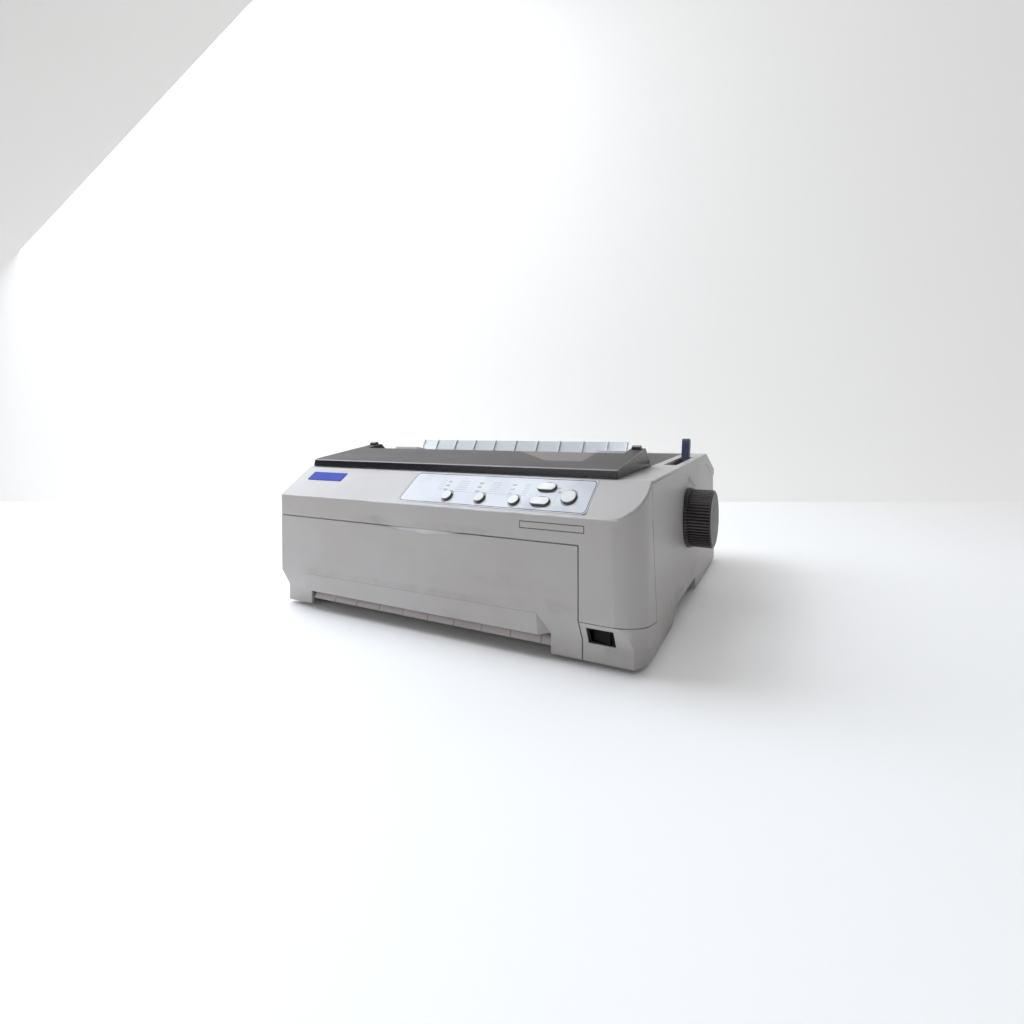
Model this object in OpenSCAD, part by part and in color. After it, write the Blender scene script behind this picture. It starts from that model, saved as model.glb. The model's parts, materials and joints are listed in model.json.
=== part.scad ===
// Dot matrix printer with a hinged smoky cover and a hinged front cover.
// Inside the modules X runs from the left wall to the right, Y from the front face
// to the rear and Z up from the table. at_home() moves that corner frame to the part's
// origin, the middle of the footprint on the table.

/* [Casing] */
// Width over the side walls
body_w = 414; // [408:1:440]
// Depth from front face to rear wall
body_d = 350; // [344:1:380]
// Height of the casing's underside above the table
foot_h = 3; // [2:0.5:5]
// Wall thickness of the casing
wall = 3; // [2.4:0.1:3.4]
// Height of the fold between front face and sloped panel
fold_z = 121.5; // [119:0.5:124]
// Depth of the sloped panel, front to back
slope_y = 33; // [32:0.5:35]
// Height of the sloped panel's top edge
slope_z = 150; // [148:0.5:154]
// Place of the side wall's highest point, front to back
peak_y = 285; // [282:1:300]
// Height of the side wall's highest point
peak_z = 160; // [158:0.5:166]
// Height of the rear edge
rear_z = 134; // [130:1:140]
// Height of the lower fold on the front face
low_fold_z = 39; // [37:0.5:42]
// How far the foot of the front face is set back
bevel_y = 8; // [6:0.5:9]
// Height where the set back front turns vertical
bevel_z = 20; // [18:0.5:22]
// Radius of the front right corner
corner_r = 27; // [20:1:30]
// Visible gap between shells
seam = 0.5; // [0.3:0.1:0.8]

/* [Front cover] */
// Width of the casing to the right of the front cover
column_w = 52.7; // [51:0.1:56]
// Height of the front cover's top edge
front_cover_z = 99.4; // [97:0.1:102]
// Left edge of the paper notch
notch_x0 = 36; // [32:1:40]
// Width of the finger pull
pull_w = 97; // [80:1:110]
// Depth of the finger pull
pull_h = 4.6; // [3:0.1:6]

/* [Printer cover] */
// Left edge of the printer cover
lid_x0 = 6.5; // [6.5:0.1:8]
// Width of the deck to the right of the printer cover
deck_w = 31; // [30:0.1:32]
// Wall thickness of the printer cover
lid_t = 2.4; // [2:0.1:3]
// Back edge of the cover's top
lid_back_y = 90; // [86:1:94]
// Width of each ear
ear_w = 15.5; // [14:0.1:16]
// Radius of the cover's hinge pins
lid_pin_r = 2; // [1.5:0.1:2.5]

/* [Paper path] */
// Radius of the platen's rubber
platen_r = 20; // [18:0.5:20.5]
// How much narrower the ribbed sheet guide is than the printer cover
guide_side = 74.9; // [66:0.1:84]
// Length of the sheet guide up its slope
guide_l = 59.5; // [54:0.5:62]
// Lean of the sheet guide from horizontal
guide_lean = 63; // [60:1:66]
// Distance between ribs
rib_pitch = 31.5; // [28:0.1:32]
// Width of each edge guide
edge_w = 38; // [34:1:40]
// Width of each paper tractor
tractor_w = 18; // [16:1:20]

/* [Drive] */
// Gear module
gear_m = 1; // [1:0.1:1]
// Teeth of the platen gear and of the knob gear
drive_teeth = 54; // [52:1:54]
// Teeth of the feed motor's pinion
pinion_teeth = 16; // [16:1:18]
// Teeth of the idler gear
idler_teeth = 20; // [20:1:22]
// Teeth of the tractor gear
tractor_teeth = 33; // [32:1:34]
// Face width of the gears
gear_w = 6; // [5:0.5:6]
// Radius of the platen shaft and of the knob shaft
shaft_r = 4; // [3:0.5:4.5]
// Running clearance between a shaft and its bore, on the radius
run_gap = 0.05; // [0.03:0.01:0.08]
// Clearance between moving pieces that don't bear on each other
free_gap = 0.3; // [0.3:0.1:0.4]

/* [Controls] */
// Radius of the feed knob
knob_r = 31.5; // [28:0.5:33]
// Length of the feed knob outside the wall
knob_reach = 28.4; // [24:0.1:30]
// Grooves around the feed knob
knob_flutes = 60; // [40:1:72]
// Radius of the small round buttons
button_r = 4.8; // [4:0.1:5.2]
// Radius of the large round button
large_button_r = 6.6; // [6:0.1:7]
// Length of the oval buttons
oval_l = 18; // [16:0.5:19]
// How far a button travels
button_travel = 1; // [0.6:0.1:1]
// Width of the release lever
lever_w = 9; // [8:0.5:10]
// Height of the release lever's tip above the table
lever_tip_z = 181; // [178:1:186]

/* [Hidden] */
$fn = 64;
eps = 1;

// Colours
case_grey = [0.68, 0.67, 0.65];
smoke = [0.30, 0.29, 0.29, 0.85];
steel = [0.62, 0.63, 0.65];
dark = [0.13, 0.13, 0.14];
cream = [0.90, 0.89, 0.86];
gear_white = [0.86, 0.84, 0.78];
board_green = [0.10, 0.32, 0.20];

// Outline of the casing seen from the right, [y, z], anticlockwise
side_outline = [[bevel_y, foot_h], [body_d, foot_h], [body_d, rear_z], [peak_y, peak_z],
    [slope_y, slope_z], [0, fold_z], [0, low_fold_z], [bevel_y, bevel_z]];
inner_outline = inset(side_outline, wall);
under_rear = inner_outline[2];
under_peak = inner_outline[3];
under_slope = inner_outline[4];
slope_angle = atan2(slope_z - fold_z, slope_y);
slope_l = norm([slope_y, slope_z - fold_z]);
deck_rise = (peak_z - slope_z) / (peak_y - slope_y);
casing_top = peak_z + 40;

// Places that follow the casing's width, from left to right
front_cover_w = body_w - column_w;
notch_x1 = front_cover_w - 29.3;
lid_x1 = body_w - deck_w;
paper_x = (lid_x0 + lid_x1 - 0.1) / 2;
guide_w = lid_x1 - lid_x0 - guide_side;

// The bay under the printer cover and behind it
bay_x0 = lid_x0 + 3;
bay_x1 = lid_x1 - 3;
bay_y0 = slope_y + 4;
ear_y0 = lid_back_y + 12;
ear_y1 = ear_y0 + 45;
bay_y1 = peak_y - 9;
rear_bay_x0 = 24;
rear_bay_x1 = lid_x1 + 0.8;
band_x = [rear_bay_x0 + 2, rear_bay_x1 - 20.4];
edge_end = 3.7;
edge_gap = band_x[1] - band_x[0] - 2 * (edge_w + edge_end);
skirt_z = 132;

// Hinge lines, [y, z]
front_hinge = [bevel_y + 6, foot_h + 5.5];
front_pin_r = 1.5;
front_ear_r = 3.5;
front_lug_r = wall - free_gap;
lid_hinge = [lid_back_y + 34, slope_z - 4];
guide_hinge = [lid_hinge[0] + 14, slope_z - 25];
lever_hinge = [205, 70];

// Paper path, [y, z]
platen_at = [122, 100];
pitch_r = gear_m * drive_teeth / 2;
knob_angle = -6.4;
knob_at = platen_at + 2 * pitch_r * [cos(knob_angle), sin(knob_angle)];
idler_r = gear_m * idler_teeth / 2;
tractor_r = gear_m * tractor_teeth / 2;
idler_at = knob_at + [pitch_r + idler_r, 0];
tractor_at = idler_at + [idler_r + tractor_r, 0];
pinion_angle = -110;
pinion_r = gear_m * pinion_teeth / 2;
pinion_at = platen_at + (pitch_r + pinion_r) * [cos(pinion_angle), sin(pinion_angle)];
rail_at = tractor_at + [23, -6];
carriage_at = [74, 84];

// Frames
frame_t = 2;
frame_x0 = 15;
frame_x1 = lid_x1 - 7;
gear_x = frame_x1 + 3.5;
inner_x0 = frame_x0 + frame_t;
inner_x1 = frame_x1 - frame_t;
platen_side = 77;
platen_l = inner_x1 - inner_x0 - platen_side;
platen_x0 = paper_x - platen_l / 2;
platen_x1 = paper_x + platen_l / 2;
plate_z = 8;
plate_t = 2;
deck_z = plate_z + plate_t;
carriage_r = 6;
rail_r = 4;

// Belt drive
belt_y = carriage_at[0] - 8;
belt_z = 58;
belt_h = 6;
belt_t = 1.4;
pulley_r = 7;
motor_x = 37;
idler_pulley_x = frame_x1 - 24;
motor_shelf_z = 52.5;

// Controls, [x, distance up the slope]
panel_x1 = front_cover_w + 5.7;
panel_x0 = panel_x1 - 201.5;
panel_s0 = 3.3;
panel_s1 = slope_l - 2;
panel_t = 1.2;
board_drop = 6.2;
font_at = [panel_x1 - 146, 13];
pitch_at = [panel_x1 - 109, 13];
tear_at = [panel_x1 - 72.5, 13];
line_feed_at = [panel_x1 - 46.5, 13.5];
load_at = [panel_x1 - 46.5, 30];
pause_at = [panel_x1 - 21, 20];
oval_r = 4;
lamp_s = [21, 26, 31];
lamp_x = [font_at[0] - 8, pitch_at[0] - 8, tear_at[0] - 8];
switch_x0 = front_cover_w + 5.7;
switch_x1 = switch_x0 + 24;
switch_z0 = 18.5;
switch_z1 = 33;

function unit(v) = v / norm(v);
function left_normal(v) = [-unit(v)[1], unit(v)[0]];
// Moves every side of a closed anticlockwise outline inwards by d
function inset(p, d) = let (n = len(p)) [for (i = [0:n - 1])
    let (a = left_normal(p[i] - p[(i + n - 1) % n]), b = left_normal(p[(i + 1) % n] - p[i]))
    p[i] + d * (a + b) / (1 + a * b)];
function arc(c, r, a0, a1, n = 12) = [for (i = [0:n]) let (a = a0 + (a1 - a0) * i / n)
    c + r * [cos(a), sin(a)]];
function deck_at(y) = slope_z + (y - slope_y) * deck_rise;

module at_home() translate([-(body_w + knob_reach) / 2, -body_d / 2, 0]) children();
module box(x, y, z) translate([x[0], y[0], z[0]]) cube([x[1] - x[0], y[1] - y[0], z[1] - z[0]]);
module prism(points, x0, x1)
    translate([x0, 0, 0]) rotate([90, 0, 90]) linear_extrude(x1 - x0) polygon(points);
module rod(r, x0, x1, at) translate([x0, at[0], at[1]]) rotate([0, 90, 0]) cylinder(r = r, h = x1 - x0);
module on_slope(at, lift = 0)
    translate([at[0], 0, fold_z]) rotate([slope_angle, 0, 0]) translate([0, at[1], lift]) children();

// Solid casing, d inside the outer surface, with its rounded front right corner
module casing_solid(d) difference() {
    prism(inset(side_outline, d), d, body_w - d);
    difference() {
        box([body_w - corner_r, body_w + eps], [-eps, corner_r], [-eps, casing_top]);
        translate([body_w - corner_r, corner_r, -2 * eps])
            cylinder(r = corner_r - d, h = casing_top + 4 * eps);
    }
}

// The hand hold under a side wall
hold_y0 = 99;
hold_y1 = 210;
hold_z = 16;
hold_depth = 12;
module hand_hold(x0, x1, d = 0)
    prism([[hold_y0 - d, -eps], [hold_y0 - d, foot_h], [hold_y0 + 16 - d / 2, hold_z + d],
        [hold_y1 + d, hold_z + d], [hold_y1 + d, -eps]], x0, x1);

module casing_shell() difference() {
    casing_solid(0);
    difference() {
        casing_solid(wall);
        hand_hold(-eps, hold_depth + wall, wall);
        hand_hold(body_w - hold_depth - wall, body_w + eps, wall);
    }
    hand_hold(-eps, hold_depth);
    hand_hold(body_w - hold_depth, body_w + eps);
}

// Everything that belongs to the upper shell. The corner seam drops round the corner and
// leans back up the side; g opens that seam.
corner_seam = [[-eps, low_fold_z - 1], [46, low_fold_z - 11], [slope_y, fold_z - 4]];
front_strip_w = front_cover_w + seam;
module upper_zone(g = 0) {
    rear_fall = (under_peak[1] - under_rear[1]) / (under_rear[0] - under_peak[0]);
    roof = [under_slope, under_peak, [body_d + eps, under_rear[1] - (wall + eps) * rear_fall],
        [body_d + eps, casing_top], [-eps, casing_top]];
    prism(concat([corner_seam[0] + [0, g], corner_seam[1] + [-g, g], corner_seam[2] + [-g, 0]],
        roof), front_strip_w, body_w + eps);
    prism(concat([[-eps, front_cover_z], [front_hinge[0] + 1, front_cover_z],
        corner_seam[2]], roof), -eps, front_strip_w);
}

// Places of the case screws, [x, y], left ones clear of the bay
post_r = 3.2;
post_split_z = 60;
post_at = [[lid_x0 - 0.2, 60], [body_w - 12, 60], [lid_x0 + 0.5, body_d - 20],
    [body_w - 12, body_d - 20]];
screw_r = 1.5;
screw_l = 66;

recess_t = 1.4;
module side_recess()
    prism([[hold_y1 - 62, 73], [body_d + eps, 73], [body_d + eps, rear_z - 9],
        [peak_y, peak_z - 13], [hold_y1 - 62, deck_at(hold_y1 - 62) - 12]],
        body_w - recess_t, body_w + eps);

inlet_x = [body_w - 76, body_w - 44];
inlet_z = [20, 45];
parallel_x = [56, 124];
usb_x = [134, 150];
socket_z = [20, 36];
rear_slot_z = [98, 126];

module lower_case() color(case_grey) at_home() {
    difference() {
        casing_shell();
        upper_zone();
        box([-eps, front_strip_w], [-eps, front_hinge[0] + 6.5], [-eps, front_hinge[1] + 14]);
        box([-eps, front_strip_w], [-eps, front_hinge[0] + 0.6], [-eps, front_cover_z + eps]);
        difference() {
            box([front_strip_w, body_w + eps], [-eps, 60], [foot_h + wall, fold_z]);
            casing_solid(0);
        }
        // the gap along the corner seam
        difference() {
            prism([[-eps, corner_seam[0][1] - seam], [46 + seam, corner_seam[1][1] - seam],
                [slope_y + seam, fold_z - 4], [slope_y - 0.6, fold_z + 6], [-eps, fold_z + 6]],
                front_strip_w, body_w + eps);
            upper_zone();
        }
        side_recess();
        rod(shaft_r + 2, body_w - 2 * wall, body_w + eps, knob_at);
        box([switch_x0, switch_x1], [-eps, bevel_y + 6], [switch_z0, switch_z1]);
        box([30, body_w - 54], [body_d - 2 * wall, body_d + eps], rear_slot_z);
        box(inlet_x, [body_d - 2 * wall, body_d + eps], inlet_z);
        box(parallel_x, [body_d - 2 * wall, body_d + eps], socket_z);
        box(usb_x, [body_d - 2 * wall, body_d + eps], socket_z);
        for (p = post_at) translate([p[0], p[1], -eps]) cylinder(r = screw_r + 0.3, h = wall + 8);
        for (p = foot_at) translate([p[0], p[1], foot_h - eps]) cylinder(r = foot_r + 0.1, h = eps + 1);
    }
    for (p = post_at) translate([p[0], p[1], 0]) difference() {
        translate([0, 0, foot_h + wall]) cylinder(r = post_r, h = post_split_z - foot_h - wall);
        cylinder(r = screw_r + 0.3, h = post_split_z + eps);
    }
    // supports of the chassis plate
    for (x = [frame_x0 + 8, paper_x, frame_x1 - 8], y = [48, body_d / 2 + 15, body_d - 28])
        translate([x, y, foot_h + wall]) cylinder(r = 5, h = plate_z - foot_h - wall);
    // lugs that carry the front cover
    for (x = front_lug_x) difference() {
        union() {
            rod(front_lug_r, x, x + front_lug_w, front_hinge);
            box([x, x + front_lug_w], [front_hinge[0], front_hinge[0] + 12],
                [front_hinge[1] - 1, front_hinge[1] + front_lug_r]);
            box([x, x + front_lug_w], [front_hinge[0] + 6.5, front_hinge[0] + 12],
                [foot_h, front_hinge[1]]);
        }
        rod(front_pin_r + run_gap, x - eps, x + front_lug_w + eps, front_hinge);
    }
    // boss and pin of the release lever
    rod(6, lever_x + lever_w + free_gap, body_w - wall / 2, lever_hinge);
    rod(3, lever_x - 1.5, lever_x + lever_w + 2 * free_gap, lever_hinge);
}

foot_r = 8;
foot_at = [[34, 34], [body_w - 34, 34], [34, body_d - 34], [body_w - 34, body_d - 34]];
module rubber_feet() color(dark) at_home()
    for (p = foot_at) translate([p[0], p[1], 0]) cylinder(r = foot_r, h = foot_h + 1);

module upper_case() color(case_grey) at_home() {
    difference() {
        intersection() {
            casing_shell();
            upper_zone();
        }
        box([bay_x0, bay_x1], [bay_y0, ear_y0 + eps], [fold_z, casing_top]);
        box([lid_x0 - 0.6, rear_bay_x1], [ear_y0, ear_y1], [fold_z, casing_top]);
        box([rear_bay_x0, rear_bay_x1], [ear_y1 - eps, bay_y1], [fold_z, casing_top]);
        lever_slot();
        // shallow place for a plate on the front strip
        box([panel_x1 - 61, panel_x1], [-eps, 0.4], [109, 115.5]);
        on_slope([panel_x0, panel_s0], -panel_t)
            cube([panel_x1 - panel_x0, panel_s1 - panel_s0, 10]);
        on_slope([panel_x0 + 8, panel_s0 + 3.4], -10)
            cube([panel_x1 - panel_x0 - 16, panel_s1 - panel_s0 - 8.4, 20]);
        on_slope(badge_at, -badge_sink) badge_shape(0.1, 5);
        side_recess();
    }
    // skirts round the bay
    difference() {
        union() {
            prism([[bay_y0 - 2.4, skirt_z], [bay_y0, skirt_z], [bay_y0, deck_at(bay_y0) - 1],
                [bay_y0 - 2.4, deck_at(bay_y0) - 1]], bay_x0, bay_x1);
            prism([[bay_y0, skirt_z], [bay_y1, skirt_z], [bay_y1, deck_at(bay_y1) - 1],
                [bay_y0, deck_at(bay_y0) - 1]], rear_bay_x1, rear_bay_x1 + 2.4);
            prism([[ear_y1, skirt_z], [bay_y1, skirt_z], [bay_y1, deck_at(bay_y1) - 1],
                [ear_y1, deck_at(ear_y1) - 1]], rear_bay_x0 - 2.4, rear_bay_x0);
            prism([[bay_y1, skirt_z], [bay_y1 + 2.4, skirt_z], [bay_y1 + 2.4, deck_at(bay_y1) - 1],
                [bay_y1, deck_at(bay_y1) - 1]], rear_bay_x0 - 2.4, rear_bay_x1 + 2.4);
            // bosses of the cover's hinge pins
            rod(6, rear_bay_x1, rear_bay_x1 + 5, lid_hinge);
            box([wall, lid_x0 - 0.6], [lid_hinge[0] - 6, lid_hinge[0] + 6],
                [lid_hinge[1] - 6, deck_at(lid_hinge[0]) - 1]);
        }
        rod(lid_pin_r + run_gap, rear_bay_x1 - eps, rear_bay_x1 + 5 + eps, lid_hinge);
        rod(lid_pin_r + run_gap, wall + 0.2, lid_x0, lid_hinge);
    }
    for (p = post_at) difference() {
        translate([p[0], p[1], post_split_z])
            cylinder(r = post_r, h = deck_under(p[1]) - post_split_z + 1);
        translate([p[0], p[1], post_split_z - eps])
            cylinder(r = screw_r + run_gap, h = screw_l - post_split_z + foot_h + 6);
    }
}
// Height of the deck's underside, before and behind the peak
function deck_under(y) = y < peak_y ? deck_at(y) - wall
    : peak_z + (y - peak_y) * (rear_z - peak_z) / (body_d - peak_y) - wall - 0.4;

slot_y = [146, 231];
module lever_slot() box([lever_x - 2.5, lever_x + lever_w + 2.5], slot_y, [fold_z, casing_top]);

module case_screws() color(steel) at_home()
    for (p = post_at) translate([p[0], p[1], 0]) {
        translate([0, 0, foot_h - 1.6]) cylinder(r = 2.6, h = 1.6);
        translate([0, 0, foot_h - 0.1]) cylinder(r = screw_r, h = screw_l);
    }

// Front cover ---------------------------------------------------------------
front_lug_w = 4;
front_lug_x = [9, front_cover_w - 13];
front_ear_x = [3.6, front_cover_w - 8.6];
module front_cover() color(case_grey) at_home() {
    y_in = front_hinge[0];
    difference() {
        union() {
            difference() {
                casing_solid(0);
                casing_solid(wall);
                box([front_cover_w, body_w + eps], [-eps, body_d + eps], [-eps, casing_top]);
                box([-eps, body_w], [y_in, body_d + eps], [-eps, casing_top]);
                box([-eps, body_w], [-eps, body_d], [front_cover_z - seam, casing_top]);
                box([-eps, body_w], [bevel_y + wall, body_d], [-eps, bevel_z]);
            }
            prism([[wall / 2, low_fold_z], [bevel_y + wall / 2, bevel_z], [y_in, bevel_z],
                [y_in, front_cover_z - seam], [wall / 2, front_cover_z - seam]],
                front_cover_w - wall, front_cover_w);
            // raised band over the notch, its right end cut on the slant
            difference() {
                prism([[0, low_fold_z], [1, bevel_z + 0.5], [bevel_y + wall, bevel_z + 0.5],
                    [bevel_y + wall, bevel_z + 3], [wall, low_fold_z]], notch_x0, notch_x1);
                translate([0, 0, -eps]) linear_extrude(2 * low_fold_z)
                    polygon([[notch_x1 - 11, -eps], [notch_x1, bevel_y + 0.4],
                        [notch_x1 + eps, bevel_y + 0.4], [notch_x1 + eps, -eps]]);
            }
        }
        box([notch_x0, notch_x1], [-eps, body_d], [-eps, bevel_z + 0.5]);
        finger_pull();
    }
    for (x = front_ear_x) {
        rod(front_ear_r, x, x + 5, front_hinge);
        box([x, x + 5], [bevel_y + wall - 0.5, front_hinge[0]],
            [front_hinge[1] - front_ear_r, front_hinge[1] + front_ear_r]);
    }
    rod(front_pin_r, front_ear_x[0] + 4, front_lug_x[0] + front_lug_w + 0.5, front_hinge);
    rod(front_pin_r, front_lug_x[1] - 0.5, front_ear_x[1] + 1, front_hinge);
}
pull_x = (notch_x0 + notch_x1) / 2 + 14.5;
pull_r = (pull_w * pull_w / 4 + pull_h * pull_h) / (2 * pull_h);
module finger_pull()
    translate([pull_x, -eps, front_cover_z - pull_h + pull_r]) rotate([-90, 0, 0])
        cylinder(r = pull_r, h = eps + wall * 0.6, $fn = 128);

// Ribbed guide in the notch, with the ramp that leads the sheet up to the platen
module front_paper_guide() color([0.80, 0.76, 0.73]) at_home() {
    lip_r = front_hinge[1] + 0.5;
    c = [front_hinge[0] + 6, front_hinge[1]];
    lip = concat(arc(c, lip_r, 180, 90, 8), [c + [6, lip_r]], [c + [6, lip_r - 2]],
        arc(c, lip_r - 2, 90, 180, 8));
    difference() {
        prism(lip, notch_x0 + 0.6, notch_x1 - 0.6);
        for (i = [-4:4]) box([paper_x + i * rib_pitch - 0.4, paper_x + i * rib_pitch + 0.4],
            [0, c[0] + 5], [c[1] - eps, c[1] + lip_r + eps]);
    }
    prism(concat(arc(c, lip_r - 0.9, 90, 180, 8), arc(c, lip_r - 2.4, 180, 90, 8)),
        notch_x0 + 0.6, notch_x1 - 0.6);
    a = c + [5.5, lip_r];
    b = platen_at + [-20, -platen_r - 9];
    prism([a, a - [0, 2], b - [0, 2], b], motor_x + 23, inner_x1 - 43);
    for (x = [motor_x + 23, inner_x1 - 46])
        box([x, x + 3], [c[0] + 5, c[0] + 40], [deck_z, c[1] + lip_r - 1.5]);
    for (x = [notch_x0 + 4, notch_x1 - 8])
        box([x, x + 4], [c[0] + 1, c[0] + 6], [foot_h + wall, c[1] + lip_r - 1]);
}

// Frame ----------------------------------------------------------------------
board_x = [40, paper_x + 39.3];
power_x = [paper_x + 63.3, frame_x1 - 4];
board_post_x = [board_x[0] + 6, board_x[1] - 8, power_x[0] + 8, power_x[1] - 6];
module chassis_plate() color(steel) at_home() {
    difference() {
        box([frame_x0, frame_x1], [38, body_d - 14], [plate_z, deck_z]);
        for (i = [0:3]) translate([frame_x0 + 65 + i * (frame_x1 - frame_x0 - 154) / 3, 100, 0])
            cube([24, 40, deck_z + eps]);
        for (p = foot_at) translate([p[0], p[1], 0]) cylinder(r = 5, h = deck_z + eps);
    }
    // post of the idler pulley
    translate([idler_pulley_x, belt_y, deck_z - 0.5]) cylinder(r = 4, h = belt_z - deck_z - 1.3);
    translate([idler_pulley_x, belt_y, deck_z]) cylinder(r = 2, h = belt_z + belt_h + 3 - deck_z);
    // standoffs of the boards
    for (x = board_post_x, y = [206, body_d - 28]) translate([x, y, deck_z - 0.5])
        cylinder(r = 3, h = board_z - deck_z + 0.5);
}
board_z = 16;
board_t = 1.6;
frame_outline = [[42, deck_z], [body_d - 60, deck_z], [body_d - 60, 60],
    [rail_at[0] + 12, rail_at[1] + 12], [tractor_at[0], tractor_at[1] + 22],
    [knob_at[0], 118], [platen_at[0] + 22, 134], [platen_at[0] - 20, 134],
    [platen_at[0] - 22, 122], [46, 122]];
module frame_holes(x0) {
    rod(carriage_r + 0.02, x0 - eps, x0 + frame_t + eps, carriage_at);
    rod(shaft_r + run_gap, x0 - eps, x0 + frame_t + eps, platen_at);
    rod(3 + run_gap, x0 - eps, x0 + frame_t + eps, tractor_at);
    rod(rail_r + 0.02, x0 - eps, x0 + frame_t + eps, rail_at);
    box([x0 - eps, x0 + frame_t + eps], [150, 200], [26, 62]);
}
// Shelf that the ribbon cartridge rests on
module cartridge_shelf(x0, x1) box([x0, x1], [50, 62], [120, 121.6]);
module left_side_frame() color(steel) at_home() {
    difference() {
        prism(frame_outline, frame_x0, frame_x0 + frame_t);
        frame_holes(frame_x0);
    }
    cartridge_shelf(frame_x0 + 1, 44);
    difference() {
        box([frame_x0 + 1, motor_x + 20], [belt_y - 20, belt_y + 20],
            [motor_shelf_z, motor_shelf_z + 1.6]);
        translate([motor_x, belt_y, 0]) cylinder(r = 3.2, h = belt_z);
    }
}
module right_side_frame() color(steel) at_home() {
    difference() {
        prism(frame_outline, frame_x1 - frame_t, frame_x1);
        frame_holes(frame_x1 - frame_t);
        rod(shaft_r + run_gap, frame_x1 - frame_t - eps, frame_x1 + eps, knob_at);
        rod(3, frame_x1 - frame_t - eps, frame_x1 + eps, pinion_at);
    }
    cartridge_shelf(inner_x1 - 29, frame_x1 - 1);
    // stud of the idler gear
    rod(5, frame_x1 - 0.5, gear_x - free_gap, idler_at);
    rod(3, frame_x1, gear_x + gear_w + 1, idler_at);
}
module carriage_shaft() color(steel) at_home() rod(carriage_r, frame_x0 - 3, frame_x1 + 3, carriage_at);
module tractor_rail() color(steel) at_home() rod(rail_r, frame_x0 - 3, frame_x1 + 3, rail_at);
rail_y0 = 42;
rail_z = 68;
module guide_rail() color(steel) at_home() {
    box([inner_x0, inner_x1], [rail_y0, rail_y0 + 14], [rail_z - 2, rail_z]);
    box([inner_x0, inner_x1], [rail_y0, rail_y0 + 2], [rail_z - 14, rail_z - 1]);
}

// Carriage drive ---------------------------------------------------------------
module carriage_motor() color(dark) at_home() translate([motor_x, belt_y, 0]) {
    translate([0, 0, 22]) cylinder(r = 18, h = motor_shelf_z - 22);
    translate([0, 0, motor_shelf_z - 1]) cylinder(r = 2, h = belt_z + belt_h + 2 - motor_shelf_z);
}
module pulley(x, bore) translate([x, belt_y, belt_z]) difference() {
    union() {
        cylinder(r = pulley_r - free_gap, h = belt_h);
        translate([0, 0, -1.5]) cylinder(r = pulley_r + 1.6, h = 1.2);
        translate([0, 0, -0.5]) cylinder(r = 4, h = 1);
        translate([0, 0, -0.3]) cylinder(r = pulley_r - free_gap, h = belt_h);
        translate([0, 0, belt_h + 0.3]) cylinder(r = pulley_r + 1.6, h = 1);
        cylinder(r = pulley_r - free_gap, h = belt_h + 0.5);
    }
    translate([0, 0, -3]) cylinder(r = bore, h = belt_h + 8);
}
module motor_pulley() color(gear_white) at_home() pulley(motor_x, 2 + run_gap);
module idler_pulley() color(gear_white) at_home() pulley(idler_pulley_x, 2 + run_gap);
module belt_loop(r, h) {
    for (x = [motor_x, idler_pulley_x]) translate([x, belt_y, 0]) cylinder(r = r, h = h);
    translate([motor_x, belt_y - r, 0]) cube([idler_pulley_x - motor_x, 2 * r, h]);
}
module drive_belt() color(dark) at_home() translate([0, 0, belt_z]) difference() {
    belt_loop(pulley_r + belt_t, belt_h);
    translate([0, 0, -eps]) belt_loop(pulley_r, belt_h + 2 * eps);
}

// Gears -------------------------------------------------------------------------
flank_gap = 0.16;
function tooth(z, k, phase) = let (r = gear_m * z / 2, a = phase + k * 360 / z,
    root = r - 1.25 * gear_m, tip = r + 0.85 * gear_m, s = 180 / PI,
    hr = min(1.2 * gear_m / root * s, 172 / z), ht = (0.785 * gear_m - flank_gap) / r * s,
    hp = (0.46 * gear_m - flank_gap) / tip * s)
    [root * [cos(a - hr), sin(a - hr)], r * [cos(a - ht), sin(a - ht)],
     tip * [cos(a - hp), sin(a - hp)], tip * [cos(a + hp), sin(a + hp)],
     r * [cos(a + ht), sin(a + ht)], root * [cos(a + hr), sin(a + hr)]];
module gear(at, z, phase, bore, x0 = gear_x, w = gear_w) difference() {
    translate([x0, at[0], at[1]]) rotate([90, 0, 90]) linear_extrude(w)
        polygon([for (k = [0:z - 1]) each tooth(z, k, phase)]);
    rod(bore, x0 - eps, x0 + w + eps, at);
}
// Turns a follower so that one of its gaps faces the driver's tooth on their line of centres
function mesh_phase(line, driver_phase, z_driver, z)
    = line + 180 + 180 / z - (driver_phase - line) * z_driver / z;
knob_phase = knob_angle + 180;
platen_phase = mesh_phase(knob_angle + 180, knob_phase, drive_teeth, drive_teeth);
idler_phase = mesh_phase(0, knob_phase, drive_teeth, idler_teeth);
tractor_phase = mesh_phase(0, idler_phase, idler_teeth, tractor_teeth);
pinion_phase = mesh_phase(pinion_angle, platen_phase, drive_teeth, pinion_teeth);
module platen_gear() color(gear_white) at_home() gear(platen_at, drive_teeth, platen_phase, shaft_r + run_gap);
module knob_gear() color(gear_white) at_home() gear(knob_at, drive_teeth, knob_phase, shaft_r + run_gap);
module idler_gear() color(gear_white) at_home() gear(idler_at, idler_teeth, idler_phase, 3 + run_gap);
module tractor_gear() color(gear_white) at_home() gear(tractor_at, tractor_teeth, tractor_phase, 3 + run_gap);
module feed_pinion() color(gear_white) at_home() gear(pinion_at, pinion_teeth, pinion_phase, 2 + run_gap);
motor_face_x = inner_x1 - 26;
module feed_motor() color(dark) at_home() {
    rod(19, motor_face_x, inner_x1, pinion_at);
    rod(2, inner_x1 - 1, gear_x + gear_w + 0.5, pinion_at);
}

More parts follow.
